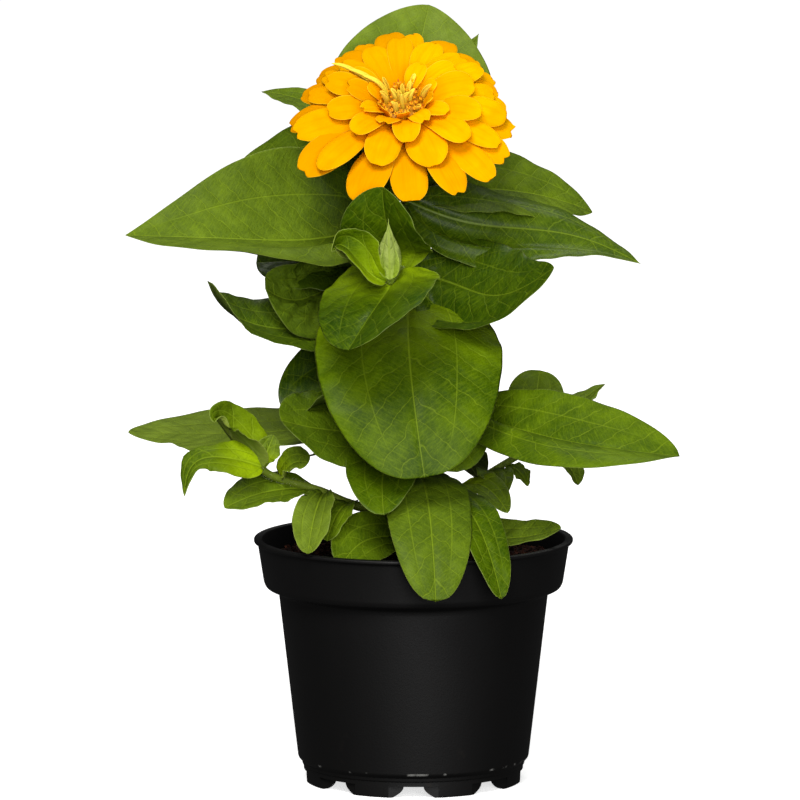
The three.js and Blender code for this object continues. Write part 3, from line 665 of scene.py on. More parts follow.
for number, (name, leaves) in enumerate({
        "upper_leaves": UPPER_LEAVES, "middle_leaves": MIDDLE_LEAVES,
        "lower_leaves": LOWER_LEAVES, "lowest_leaves": LOWEST_LEAVES}.items()):
    dress(name, leaf_mesh(name, leaves, seed=11 + number), leaf_green, "leaf_green", "main_stem")

# %% [markdown]
# ## Leaves on the side shoots
# Four short shoots leave the main stem. The front one carries three broad leaves round a closed
# bud, and its leaves are bright yellow-green where they meet. The others carry small, folded,
# fresh leaves.

# %% Leaves of the side shoots
SHOOT_LEAVES = {
    "front_shoot": [
        blade((-5, -41.5, 198), (-23.8, -80, 172.5), 48.2, arch=-0.06, sway=0.14, lean=-9.1, roll=2.6,
              twist=7.4, fold=(28.6, 12.7), curl=(-18, -18.6), snake=(-1.51, -0.96), peak=0.42,
              point=0.45, fresh=0.75, light=0, dark=0.6),
        blade((-5, -39.5, 195.5), (-11.5, -47.1, 228.8), 38, arch=-3.7, sway=0.67, lean=-8.2, roll=-19.9,
              twist=-30, fold=(20.5, 23.2), curl=(2.4, 1.13), snake=(-1.86, -0.72), heading=90, peak=0.52,
              point=0.6, light=0, fresh=0.6, dark=0.5),
        blade((-10, -47.3, 193.5), (-30, -54, 205.5), 22.1, arch=2.9, sway=-5.9, lean=3, roll=-70.8,
              twist=13.7, fold=(63.7, 28.4), curl=(-15.6, 58), snake=(-2.4, 5.5), peak=0.49, point=1.3,
              light=0, fresh=0.9, quilt=0.4),
        blade((-8.8, -49.5, 194.5), (-9.3, -51.5, 217.5), 13, arch=1.5, heading=90, fold=(-35, -35),
              curl=(-30, -30), peak=0.3, point=1.7, wave=0.1, quilt=0, fresh=1, light=1.5),
        blade((-9, -47.5, 195), (-9, -48.5, 212), 10, arch=0.5, heading=90, fold=(45, 45), peak=0.3,
              point=1.4, wave=0.1, quilt=0, fresh=1, light=1.2),
    ],
    "left_shoot": [
        blade((-57, -24.9, 120), (-73.6, -32, 139.7), 25.7, arch=2.6, sway=-6.7, lean=16, roll=-33.6,
              twist=-18.6, fold=(65, 64.1), curl=(-38.5, -19.3), snake=(-0.24, -0.66), peak=0.25,
              point=0.99, fresh=0.6, light=0.1),
        blade((-56, -26.6, 122.3), (-84.5, -45.2, 114), 17, arch=9.2, sway=-4.5, lean=0.03, roll=-29.4,
              twist=59.7, fold=(17.8, 19.8), curl=(-44.2, -28.7), snake=(-1.23, 2.3), peak=0.32,
              point=0.9, fresh=1, light=0.1),
        blade((-56, -26, 124), (-52, -24, 134), 10, arch=0, fold=(20, 20), heading=90, fresh=0.7,
              light=0.5),
        blade((-49, -20, 117), (-39, -27, 124), 13, arch=3, roll=50, fold=(8, 8), curl=(40, 40),
              peak=0.45, point=0.4, fresh=0.9, light=0.3),
        blade((-36, -14, 112), (-70, -34, 108), 21, arch=3, roll=-25, fold=(15, 15), peak=0.5, point=0.65,
              light=0.2),
        blade((-33, -13, 111), (-39, -48, 93), 16, arch=5, fold=(32, 32), peak=0.6, point=0.5,
              light=0.65),
        blade((-22, -8, 106), (-32, -36, 96), 13, arch=5, fold=(20, 20), peak=0.6, point=0.5, light=0.1),
    ],
    "right_shoot": [
        blade((43, 16, 122), (48, 26, 152), 22, arch=0, fold=(8, 8), peak=0.62, point=0.45, heading=90),
        blade((47, 17, 124), (73, 40, 145), 16, arch=2, fold=(15, 15), point=0.8),
        blade((46, 17, 124), (62, 5, 111), 17, arch=4, fold=(20, 20), peak=0.5, point=0.7),
        blade((28, 8, 116), (33, -10, 108), 14, arch=4, fold=(10, 10)),
        blade((35, 11, 118), (43, 2, 111), 9, arch=2, fold=(10, 10)),
        blade((14, 8, 106), (35, -26, 105), 13, arch=8, roll=20, fold=(15, 15), peak=0.55, point=0.6,
              fresh=1.8, light=0.3),
    ],
    "back_shoot": [
        blade((-10, 21, 114), (-40, 34, 118), 18, arch=4),
        blade((-15, 31, 119), (-36, 54, 126), 18, arch=4),
        blade((-17, 36, 123), (-25, 68, 136), 15, arch=4),
        blade((-20, 43, 129), (-32, 54, 146), 13, arch=3, fresh=0.4),
    ],
}

for number, (node, leaves) in enumerate(SHOOT_LEAVES.items()):
    name = node + "_leaves"
    dress(name, leaf_mesh(name, leaves, seed=31 + number), leaf_green, "shoot_green", node)

# %% [markdown]
# ## Stems with fuzz
# Zinnia stems are green, ribbed a little and covered with short white hairs. A stem follows a
# path, and the hairs are hundreds of copies of one thin spike, so Geometry Nodes make both. The
# tree turns a line of points into a smooth curve, sweeps a circle along it, scatters points on
# the tube and sets a spike on each. Its sizes are named inputs. Each node tree ends in Realize
# Instances and Set Material, and the result is turned into a plain mesh.

# %% A node tree for fuzzy stems


class Growth(Board):
    """A Geometry Nodes tree: its named inputs, and the plain mesh that it makes of an object."""

    def __init__(self, name):
        super().__init__(bpy.data.node_groups.new(name, "GeometryNodeTree"))
        self.sockets = {}
        self.tree.interface.new_socket("Geometry", in_out="INPUT", socket_type="NodeSocketGeometry")
        self.tree.interface.new_socket("Geometry", in_out="OUTPUT", socket_type="NodeSocketGeometry")
        self.start = self.tree.nodes.new("NodeGroupInput")

    def input(self, name, kind="Float"):
        socket = self.tree.interface.new_socket(name, in_out="INPUT", socket_type="NodeSocket" + kind)
        self.sockets[name] = socket.identifier
        return Signal(self.start.outputs[name])

    def source(self):
        return Signal(self.start.outputs["Geometry"])

    def random(self, low, high, seed, kind="FLOAT"):
        least, most, output = {"FLOAT": (2, 3, 1), "FLOAT_VECTOR": (0, 1, 0)}[kind]
        return self.node("FunctionNodeRandomValue", {"data_type": kind},
                         {least: low, most: high, "Seed": seed}, output)

    def end(self, geometry):
        whole = self.node("GeometryNodeRealizeInstances", {}, {"Geometry": geometry})
        dressed = self.node("GeometryNodeSetMaterial", {}, {
            "Geometry": whole, "Material": self.input("Material", "Material")})
        finish = self.tree.nodes.new("NodeGroupOutput")
        self.tree.links.new(dressed.socket, finish.inputs["Geometry"])

    def grow(self, mesh, finish, **values):
        """Runs the tree on a mesh and returns the result as a plain mesh."""
        carrier = show("carrier", mesh)
        modifier = carrier.modifiers.new("growth", "NODES")
        modifier.node_group = self.tree
        for name, value in {**values, "Material": finish.material}.items():
            modifier[self.sockets[name.replace("_", " ")]] = value
        graph = bpy.context.evaluated_depsgraph_get()
        result = bpy.data.meshes.new_from_object(carrier.evaluated_get(graph))
        carrier.modifiers.clear()
        bpy.data.objects.remove(carrier)
        return result


STEM_POINTS, STEM_SIDES = 90, 18


def stem_tree():
    tree = Growth("fuzzy_stem")
    foot, top, hair, density = [
        tree.input(name) for name in ("Foot radius", "Top radius", "Hair length", "Hair density")]
    seed = tree.input("Seed", "Int")
    path = tree.node("GeometryNodeMeshToCurve", {}, {"Mesh": tree.source()})
    path = tree.node("GeometryNodeCurveSplineType", {"spline_type": "CATMULL_ROM"}, {"Curve": path})
    path = tree.node("GeometryNodeResampleCurve", {}, {"Curve": path, "Count": STEM_POINTS})
    share = tree.node("GeometryNodeSplineParameter", {}, {}, "Factor")
    place = tree.node("GeometryNodeInputPosition")
    rough = tree.node("ShaderNodeTexNoise", {}, {"Vector": place, "Scale": 90.0, "Detail": 1.0})
    radius = (foot + (top - foot) * share) * (0.9 + rough * 0.2)
    ring = tree.node("GeometryNodeCurvePrimitiveCircle", {}, {"Resolution": STEM_SIDES, "Radius": 1.0})
    tube = tree.node("GeometryNodeCurveToMesh", {}, {
        "Curve": path, "Profile Curve": ring, "Scale": radius, "Fill Caps": True})
    spread = tree.node("GeometryNodeDistributePointsOnFaces", {},
                       {"Mesh": tube, "Density": density, "Seed": seed}).socket.node
    spike = tree.node("GeometryNodeMeshCone", {}, {
        "Vertices": 3, "Radius Top": 0.01 * MM, "Radius Bottom": 0.04 * MM, "Depth": hair})
    spike = tree.node("GeometryNodeStoreNamedAttribute", {"data_type": "FLOAT"},
                      {"Geometry": spike, "Name": "hair", "Value": 1.0})
    lean = tree.random((-0.7, -0.7, 0), (0.7, 0.7, 6), seed, "FLOAT_VECTOR")
    turn = tree.node("FunctionNodeRotateRotation", {"rotation_space": "LOCAL"},
                     {0: Signal(spread.outputs["Rotation"]),
                      1: tree.node("FunctionNodeEulerToRotation", {}, {0: lean})})
    hairs = tree.node("GeometryNodeInstanceOnPoints", {}, {
        "Points": Signal(spread.outputs["Points"]), "Instance": spike, "Rotation": turn,
        "Scale": tree.random(0.5, 1.2, seed)})
    both = tree.node("GeometryNodeJoinGeometry", {}, {0: tube}).socket.node
    tree.tree.links.new(hairs.socket, both.inputs[0])
    tree.end(Signal(both.outputs[0]))
    return tree


fuzzy_stem = stem_tree()
print("fuzzy_stem inputs:", ", ".join(fuzzy_stem.sockets))

# %% [markdown]
# ## Stem green
# The stem is a lighter, yellower green than the leaves, streaked along its length. Its hairs
# carry an attribute of their own, so one material can paint the hairs pale and the skin green.

# %% Stem finish and the five stems


def stem_finish():
    finish = Finish("stem_green", Roughness=0.5, Specular_IOR_Level=0.3)
    hair = finish.node("ShaderNodeAttribute", {"attribute_name": "hair"}, {}, "Fac")
    place = finish.place()
    stretched = finish.node("ShaderNodeMapping", {}, {"Vector": place, "Scale": (1, 1, 0.15)})
    streak = finish.grain(stretched, 900.0, 2.0)
    blotch = finish.grain(place, 60.0, 2.0)
    skin = finish.blend(streak, colour(82, 104, 16), colour(128, 146, 44))
    skin = finish.blend(blotch * 0.35, skin, colour(70, 82, 10))
    finish.feed("Base Color", finish.blend(hair, skin, colour(206, 212, 172)))
    finish.bump(streak, 0.0003, 0.5)
    return finish


def path_mesh(points):
    return plain_mesh("path", points, [], [(k, k + 1) for k in range(len(points) - 1)])


# Each stem: its path, the radius at its foot and at its top, and its slot.
STEMS = {
    "main_stem": ([(0, 2, 62), (1, 3, 130), (0, 5, 190), (-3, 8, 222), (-4, 6, 234), (-4, 2.4, 241.6)],
                  3.2, 2.3, "leaf_green"),
    "front_shoot": ([(-1, 5, 199.5), (-3, -14, 197.5), (-5, -34, 196.5), (-5.2, -41, 197),
                     (-8.8, -48, 194.5)], 1.9, 1.7, "shoot_green"),
    "left_shoot": ([(0, 2, 100), (-21, -8, 105), (-36, -14, 112), (-50, -20, 117), (-56, -24, 121),
                    (-57, -26, 126)], 1.9, 1.4, "shoot_green"),
    "right_shoot": ([(0, 2, 94), (12, 7, 104), (32, 10, 117), (48, 18, 125)], 1.7, 1.2, "shoot_green"),
    "back_shoot": ([(0, 2, 104), (-7, 16, 112), (-16, 32, 120), (-20, 44, 130)], 1.7, 1.2,
                   "shoot_green"),
}

stem_green = stem_finish()
for number, (node, (path, foot, top, slot)) in enumerate(STEMS.items()):
    mesh = fuzzy_stem.grow(path_mesh(path), stem_green, Foot_radius=foot * MM, Top_radius=top * MM,
                           Hair_length=0.9 * MM, Hair_density=9e5, Seed=number + 3)
    dress(node + "_stalk", mesh, stem_green, slot, node)

# %% [markdown]
# ## The bloom's own frame
# The bloom nods to the front, and everything in it is easiest to describe along its own axis.
# So its parts are made with the axis pointing up, and then turned and moved in one step. Heights
# in the bloom are measured from the centre of its disc. The same step is written down twice: for
# points in millimetres, and for meshes, which are in metres already.

# %% Bloom frame and a lathe
BLOOM_CENTRE = Vector((-4, -10, 256.5))
BLOOM_NOD = math.radians(40)
bloom_frame = Matrix.Translation(BLOOM_CENTRE) @ Matrix.Rotation(BLOOM_NOD, 4, "X")
bloom_place = Matrix.Translation(BLOOM_CENTRE * MM) @ Matrix.Rotation(BLOOM_NOD, 4, "X")


def band_faces(bands, sides):
    """The quads between rings of points, one band after another."""
    starts = [(band * sides + k, band * sides + (k + 1) % sides)
              for band in range(bands) for k in range(sides)]
    return [(a, b, b + sides, a + sides) for a, b in starts]


def lathe(name, profile, sides):
    """A closed body of revolution. The profile runs from axis to axis, upwards on the outside."""
    points = [(x, y, height) for radius, height in profile[1:-1] for x, y in circle(radius, sides)]
    faces = band_faces(len(profile) - 3, sides)
    first, last = len(points), len(points) + 1
    points += [(0, 0, profile[0][1]), (0, 0, profile[-1][1])]
    top = (len(profile) - 3) * sides
    for k in range(sides):
        faces.append((first, (k + 1) % sides, k))
        faces.append((last, top + k, top + (k + 1) % sides))
    return plain_mesh(name, points, faces)


def rounded(profile, radius, steps=4):
    """Cuts each corner of a profile with a small arc."""
    result = [profile[0]]
    for before, corner, after in zip(profile, profile[1:], profile[2:]):
        corner = Vector(corner)
        back, on = Vector(before) - corner, Vector(after) - corner
        cut = min(radius, back.length * 0.45, on.length * 0.45)
        start, stop = corner + back.normalized() * cut, corner + on.normalized() * cut
        for k in range(steps + 1):
            t = k / steps
            result.append(tuple((1 - t) ** 2 * start + 2 * t * (1 - t) * corner + t * t * stop))
    return [*result, profile[-1]]


print("bloom axis leans", round(math.degrees(BLOOM_NOD)), "degrees to the front")

# %% [markdown]
# ## Petal yellow
# The rays are a full golden yellow, with fine lines along their length. Towards their base they
# are deeper and more orange, partly their own colour and partly painted shade. Painted shade also
# lies along their two grooves and deepens the outer rings and the left side. A thin paler margin
# is partly their own and partly a painted highlight. Their back is duller. The finish reads the
# same attributes as the leaves. `light` is painted light: more lemon on the rays at the back,
# where light falls from above. `fresh` means pale and greenish, as the youngest rays in the middle
# are, and `dark` is painted shade: a deeper orange.

# %% Petal finish


def petal_finish():
    finish = Finish("petal_yellow", Specular_IOR_Level=0.0)
    (u, v, width), (length, seed, side), (light, fresh, dark) = finish.blade_signals()
    out = abs(v)
    upper = finish.step(side, 0.3, 0.7)
    fibres = finish.grain(finish.vector(u * length * 0.12, v * width * 1.6, seed * 50), 1.0, 3.0)
    cloud = finish.grain(finish.vector(u * length, v * width, seed * 50), 0.13, 2.0)
    # painted shade: a thin darker line along each of the two grooves
    groove = finish.line(abs(out - PETAL_GROOVE) * width, 0.5) * (1 - finish.step(u, 0.75, 1))
    yellow = finish.paint(
        finish.blend(finish.step(cloud, 0.3, 0.7), colour(245, 164, 0), colour(248, 180, 0)),
        # painted light: more lemon on the rays at the back, where light falls from above
        (light, (251, 192, 0)),
        (finish.step(fibres, 0.45, 0.75) * 0.25, (234, 154, 0)),
        # painted shade in the grooves
        (groove * 0.16, (226, 128, 0)),
        # deeper orange towards the base: partly the ray's own colour, partly painted shade
        ((1 - finish.step(u, 0.15, 0.8)) * 0.75, (214, 132, 0)),
        # painted shade: deeper orange in the outer rings and on the left side
        (dark * 0.85, (212, 136, 0)))
    reverse = finish.blend(finish.step(fibres, 0.4, 0.7), colour(240, 168, 0), colour(250, 188, 10))
    # the same painted shade on the back of the rays
    reverse = finish.blend(dark, reverse, colour(206, 122, 0))
    whole = finish.blend(upper, reverse, yellow)
    pale = finish.blend(finish.step(u, 0.1, 0.9), colour(222, 212, 56), colour(250, 234, 92))
    whole = finish.blend(fresh, whole, pale)
    # thin paler margin: partly the ray's own colour, partly a painted highlight
    margin = finish.line((1 - out) * width, 0.2)
    finish.feed("Base Color", finish.blend(margin * 0.45, whole, colour(255, 214, 50)))
    finish.feed("Roughness", 0.46 + fibres * 0.2)
    finish.bump(fibres, 0.0003, 0.45)
    return finish


petal_yellow = petal_finish()
print("petal finish has", len(petal_yellow.tree.nodes), "nodes")

# %% [markdown]
# ## The rays
# The rays, which everyone calls petals, sit in rings round the disc: long and drooping outside,
# short and raised inside. Each has a bearing and a reach read from the photograph, because the
# outline of the bloom depends on them. Small seeded differences in width, roll, fold and bend
# keep them from looking stamped. A row of the table says bearing, reach and width.

# %% Ray petals
# `dark` of a ring is painted shade, deepest in the outer ring
RAY_RINGS = [
    {"root": 5, "base": -7.5, "tip": -8, "arch": 5, "roll": 8, "dark": 0.5, "rays": [
        (-174, 42.5, 15), (-141, 48, 15), (-111, 46, 17), (-86, 43.5, 17), (-63, 46, 14.5), (-45, 46.5, 14),
        (-31, 45, 14), (-11, 42, 15), (6, 39, 14), (21, 38, 13), (32, 40, 12), (48, 41, 14), (66, 44, 14),
        (85, 45, 12), (97, 44.5, 14), (110, 43, 13), (126, 40, 14), (144, 39, 14), (162, 40, 12)]},
    {"root": 5, "base": -6, "tip": -2, "arch": 4.5, "roll": 9, "dark": 0.15, "rays": [
        (-161, 42.5, 14), (-133, 45, 12.5), (-107, 33.5, 15), (-70, 34.5, 15.5), (-29, 41, 13), (-9, 39, 14),
        (13, 35, 13), (34, 35.5, 13), (50, 35, 13), (70, 35.5, 13), (92, 37, 12), (111, 34, 12.5),
        (134, 33, 12), (152, 34, 12), (169, 36, 11)]},
    {"root": 6, "base": -5, "tip": 4, "arch": 4, "roll": 10, "dark": 0.02, "rays": [
        (-164, 29, 9.5), (-131, 27.5, 12), (-86, 25.5, 12.5), (-44, 33, 13.5), (-20, 31, 11), (10, 27, 12),
        (36, 24, 11), (66, 17.5, 8), (146, 24, 9), (164, 30, 10.5)]},
    {"root": 7.4, "base": -5, "tip": 6.5, "arch": 3, "roll": 12, "dark": 0, "rays": [
        (-111, 19.5, 9.5), (-64, 19, 9.5), (-34, 20, 9), (15, 20.5, 9.5), (176, 21, 8.5),
        (-148, 18, 8)]},
    {"root": 7.2, "base": -4, "tip": 7, "arch": 1, "roll": 14, "dark": 0, "rays": [
        (27, 13.5, 6), (-20, 12, 5.5), (-88, 13, 6.5), (-132, 12.5, 6), (165, 13.5, 6)]},
]
RAY_GRID = (34, 18)
RAY_THICKNESS = 0.45


def spoke(bearing, radius, height):
    return radius * math.cos(math.radians(bearing)), radius * math.sin(math.radians(bearing)), height


def ray_mesh():
    draw = random.Random(41)
    blades = Blades()
    for number, ring in enumerate(RAY_RINGS):
        for bearing, reach, width in ring["rays"]:
            outward = spoke(bearing, 1, 0)
            bend = draw.uniform(-30, -8) if number < 2 else draw.uniform(-14, 14)
            ray = blade(
                spoke(bearing, ring["root"], ring["base"]),
                spoke(bearing, reach, ring["tip"] + draw.uniform(-1.2, 1.2)),
                width * draw.uniform(0.84, 1.02), heading=bearing, arch=ring["arch"] + draw.uniform(-1, 1),
                roll=ring["roll"] * outward[0] + draw.uniform(-11, 11), twist=draw.uniform(-10, 10),
                fold=(draw.uniform(3, 14), draw.uniform(3, 14)), curl=(bend, bend + draw.uniform(-8, 8)),
                peak=0.72, point=draw.uniform(0.34, 0.56),
                # painted light: the rays at the back, where light falls from above, are more lemon
                light=0.1 + 0.4 * outward[1] - ring["dark"] * 0.5,
                wave=draw.uniform(0.1, 0.45), notch=draw.choice([0, 0.3, 0.9]),
                # painted shade: darker orange in the outer rings and on the left side
                dark=min(1, max(0, ring["dark"] - 0.45 * outward[0] + draw.uniform(-0.2, 0.3))))
            blades.add(ray, RAY_GRID, RAY_THICKNESS, petal_relief, draw.random(), bloom_frame)
    return blades.mesh("ray_petals")


dress("ray_petals", ray_mesh(), petal_yellow, "petal_yellow", "ray_petals")

# %% [markdown]
# ## The youngest rays
# The rays in the middle have not opened yet: they are narrow, rolled, pale and nearly upright.
# Three longer ones of the same kind lie over the open rays on the upper left, as in the photo.

# %% Young rays in the middle
# Bearing, reach and height of the tip, and for the side rays their width.
YOUNG_RAYS = [(-85, 4.0, 8.5), (-118, 7.2, 6), (172, 8.5, 6), (150, 5.0, 5.5), (90, 4.2, 6),
              (62, 7, 5.5), (30, 5.2, 5), (-72, 9.2, 4), (-30, 9, 4.5), (0, 2.4, 5.5), (140, 2.4, 5.5),
              (133, 10, 7), (75, 10.5, 6), (20, 11, 7)]
SIDE_RAYS = [(146, 32, 3, 2.9), (152, 23, 7, 3), (160, 16, 9, 3)]
YOUNG_GRID, SIDE_GRID = (20, 14), (26, 12)
YOUNG_THICKNESS = 0.35


def young_ray_mesh():
    draw = random.Random(57)
    blades = Blades()
    for bearing, reach, height in YOUNG_RAYS:
        ray = blade(
            spoke(bearing, reach * 0.75, -2), spoke(bearing + draw.uniform(-15, 15), reach, height),
            draw.uniform(3.6, 5.4), arch=draw.uniform(-0.6, 0.6), heading=bearing,
            fold=(50, 50), curl=(75, 75), peak=0.5, point=0.7, wave=0.05, fresh=draw.uniform(0.55, 1))
        blades.add(ray, YOUNG_GRID, YOUNG_THICKNESS, petal_relief, draw.random(), bloom_frame)
    for bearing, reach, height, width in SIDE_RAYS:
        ray = blade(spoke(bearing, 7, -4), spoke(bearing, reach, height), width, arch=4, heading=bearing,
                    fold=(52, 52), curl=(40, 40), peak=0.6, point=0.7, wave=0.1, fresh=0.75)
        blades.add(ray, SIDE_GRID, YOUNG_THICKNESS, petal_relief, draw.random(), bloom_frame)
    return blades.mesh("young_rays")


dress("young_rays", young_ray_mesh(), petal_yellow, "petal_yellow", "ray_petals")

# %% [markdown]
# ## Copies in a spiral
# Florets on the disc and scales on the cup both follow the spiral that plants use: each new one
# is turned by the golden angle, about 137.5 degrees, and stands a little further out. One node
# tree does both. The object's own mesh is the pattern, and the tree sets a copy of it on every
# point of the spiral, with radius, height, tilt and size running from the inner to the outer
# value.

# %% The spiral tree


GOLDEN_ANGLE = math.pi * (3 - math.sqrt(5))


def spiral_tree():
    tree = Growth("spiral_copies")
    count = tree.input("Count", "Int")
    ranges = [(tree.input("Inner " + what), tree.input("Outer " + what))
              for what in ("radius", "height", "tilt", "size")]
    power = tree.input("Spread power")
    uneven = tree.input("Unevenness")
    seed = tree.input("Seed", "Int")
    index = tree.node("GeometryNodeInputIndex")
    share = ((index + 0.5) / count) ** power
    radius, height, tilt, size = [low + (high - low) * share for low, high in ranges]
    angle = index * GOLDEN_ANGLE
    place = tree.vector(angle.math("COSINE") * radius, angle.math("SINE") * radius, height)
    points = tree.node("GeometryNodePoints", {}, {"Count": count, "Position": place, "Radius": 0.001})
    turn = tree.vector(0.0, tilt + tree.random(-1.0, 1.0, seed) * uneven, angle)
    copies = tree.node("GeometryNodeInstanceOnPoints", {}, {
        "Points": points, "Instance": tree.source(), "Rotation": turn,
        "Scale": size * (1 + tree.random(-1.0, 1.0, seed + 7) * uneven)})
    tree.end(copies)
    return tree


spiral = spiral_tree()
print("spiral inputs:", ", ".join(spiral.sockets))

# %% [markdown]
# ## Disc florets
# The middle of a zinnia is a dome of tiny tube-shaped florets, each ending in a five-pointed
# orange-yellow star with a thin pollen column in it. One floret is modelled with a few dozen
# faces, and the spiral tree repeats it. Its tube darkens to orange-brown towards its foot, painted
# shade between the florets, and a dome in that darkest colour, painted shade too, fills the gaps
# under them.

# %% One floret and the disc


def star_mesh():
    """One floret: rings of five lobes and the five gaps between, as (lobe, height, gap)."""
    rings = [(0.45, 0.0, 0.45), (0.42, 1.4, 0.42), (0.5, 2.3, 0.62), (1.5, 3.1, 0.62), (0.55, 2.75, 0.4),
             (0.22, 1.9, 0.22), (0.2, 2.2, 0.2), (0.26, 3.9, 0.26), (0.1, 4.3, 0.1)]
    sides = 10
    points = []
    for lobe, height, gap in rings:
        for k in range(sides):
            radius = lobe if k % 2 == 0 else gap
            drop = 0.35 if (lobe > 1 and k % 2) else 0  # gaps of the open star hang lower
            points.append(spoke(360 / sides * k, radius, height - drop))
    faces = band_faces(len(rings) - 1, sides)
    faces += [tuple(range(sides - 1, -1, -1)), tuple(range(len(points) - sides, len(points)))]
    mesh = plain_mesh("floret", points, faces)
    tone = mesh.attributes.new("tone", "FLOAT", "POINT")
    tone.data.foreach_set("value", [height / rings[-1][1] for _, _, height in points])
    return mesh


def floret_finish():
    finish = Finish("floret_orange", Roughness=0.55, Specular_IOR_Level=0.3)
    tone = finish.node("ShaderNodeAttribute", {"attribute_name": "tone"}, {}, "Fac")
    dust = finish.grain(finish.place(), 1600.0, 2.0)
    # painted shade: the tube darkens to orange-brown towards its foot; the dome, with no tone, gets this
    # darkest colour
    shade = finish.blend(finish.step(tone, 0.1, 0.62), colour(176, 116, 4), colour(246, 170, 6))
    shade = finish.blend(finish.step(tone, 0.66, 0.8), shade, colour(196, 98, 4))
    finish.feed("Base Color", finish.blend(finish.step(dust, 0.5, 0.75) * 0.4, shade, colour(255, 205, 40)))
    finish.bump(dust, 0.0002, 0.5)
    return finish


floret_orange = floret_finish()
disc = spiral.grow(star_mesh(), floret_orange, Count=44, Inner_radius=0.3 * MM, Outer_radius=8.2 * MM,
                   Inner_height=0.6 * MM, Outer_height=-0.8 * MM, Inner_tilt=0.05, Outer_tilt=0.6,
                   Inner_size=0.6, Outer_size=0.95, Spread_power=0.5, Unevenness=0.2, Seed=5)
disc.transform(bloom_place)
dress("disc_florets", disc, floret_orange, "floret_orange", "disc_florets")
# a dome under the florets in their darkest colour, painted shade in the gaps between them
DOME_PROFILE = [(0, -6), (8.5, -6), (9.4, -3.4), (7.5, -1.2), (4, 0.3), (0, 0.8)]
dome = lathe("disc_dome", rounded(DOME_PROFILE, 1.2), 40)
dome.transform(bloom_place)
dress("disc_dome", dome, floret_orange, "floret_orange", "disc_florets")

# %% [markdown]
# ## The green cup under the bloom
# Seen from behind, the rays come out of a cup of small rounded bracts that overlap like roof
# tiles, each with a dark margin. A smooth lathed cup fills the inside, and the spiral tree sets
# the bracts on it, lying flat at the stem and standing up at the rim.

# %% Cup and bracts


def bract_finish():
    finish = Finish("bract_green", Roughness=0.6, Specular_IOR_Level=0.3)
    u, v, width = finish.parts(finish.attribute("blade"))
    out = abs(v)
    fibres = finish.grain(finish.vector(u * 2, v * width * 1.5, 0.0), 1.4, 2.0)
    green = finish.blend(fibres, colour(78, 100, 22), colour(122, 142, 58))
    rim_share = finish.step(out, 0.72, 0.95).math("MAXIMUM", finish.step(u, 0.78, 0.95))
    finish.feed("Base Color", finish.blend(rim_share * 0.85, green, colour(46, 34, 16)))
    finish.bump(fibres, 0.0002, 0.5)
    return finish


CUP_PROFILE = [(0, -18.5), (3, -18.5), (6.6, -16.2), (9.2, -13), (9.4, -9.5), (8, -4), (0, -3.5)]
cup = lathe("cup", rounded(CUP_PROFILE, 1.5), 48)
cup.transform(bloom_place)
bract_green = bract_finish()
dress("bloom_cup", cup, bract_green, "bract_green", "bloom_bracts")

BRACT_GRID = (12, 10)
BRACT_THICKNESS = 0.5
scale = Blades()
scale.add(blade((0, 0, 0), (0.5, 0, 5.6), 5.6, arch=0.3, heading=0, fold=(16, 16), curl=(20, 20),
                peak=0.62, point=0.36, wave=0), BRACT_GRID, BRACT_THICKNESS, petal_relief, seed=0.4)
bracts = spiral.grow(scale.mesh("bract"), bract_green, Count=46, Inner_radius=3.8 * MM,
                     Outer_radius=9.3 * MM, Inner_height=-17.6 * MM, Outer_height=-11.2 * MM,
                     Inner_tilt=1.05, Outer_tilt=0.12, Inner_size=0.7, Outer_size=1.05,
                     Spread_power=0.7, Unevenness=0.06, Seed=9)
bracts.transform(bloom_place)
dress("bracts", bracts, bract_green, "bract_green", "bloom_bracts")

# %% [markdown]
# ## The pot
# A nursery pot is thin blown plastic: a tapering wall, a stepped foot ring with notches to let
# water out, drain holes in the floor, and a band under a thin lip at the top. It is round, so a
# lathe makes it from one profile with rounded corners. Boolean modifiers then cut the notches
# and the holes, and are applied.

# %% Pot body
POT_PROFILE = [
    (0, 0), (14, 0), (14, 4), (37.2, 4), (37.2, 0), (41.2, 0), (41.5, 7), (43.5, 9), (50.6, 70.5),
    (51.1, 72), (55.5, 73.8), (56.3, 75.5), (58.6, 90.2), (60, 90.7), (60, 91.7), (59.6, 92), (57, 92),
    (54.7, 75.5), (49, 71.5), (41.9, 6), (0, 6),
]
FOOT_NOTCHES = 8
NOTCH_HEIGHT = 4.2
RECESS_OUTLINE = [(-9.4, -1), (9.4, -1), (9.4, 4.4), (-9.4, 4.4)]
RECESS_RUN, NOTCH_RUN, DRAIN_RUN = (-60, -39.6), (-50, -34), (-9, 9)
DRAIN_RADIUS, DRAIN_PLACE = 3.5, (0, -31, 5)


def prism(name, outline, low, high, turn):
    """A closed prism: an outline in x and z, run along y from low to high, turned about the axis."""
    count = len(outline)
    points = [(x, y, z) for y in (low, high) for x, z in outline]
    faces = [tuple(range(count)), tuple(range(2 * count - 1, count - 1, -1))]
    faces += [(k, k + count, (k + 1) % count + count, (k + 1) % count) for k in range(count)]
    return plain_mesh(name, [Matrix.Rotation(turn, 3, "Z") @ Vector(p) for p in points], faces)


def flared_slot():
    side = [(3.7 + 4.3 * (1 - z / NOTCH_HEIGHT) ** 2, z) for z in np.linspace(-1, NOTCH_HEIGHT, 10)]
    return [*side, *[(-x, z) for x, z in reversed(side)]]


def join_meshes(name, meshes):
    points, faces = [], []
    for mesh in meshes:
        start = len(points)
        points += [v.co.copy() for v in mesh.vertices]
        faces += [[start + k for k in p.vertices] for p in mesh.polygons]
    whole = bpy.data.meshes.new(name)
    whole.from_pydata(points, [], faces)
    return whole


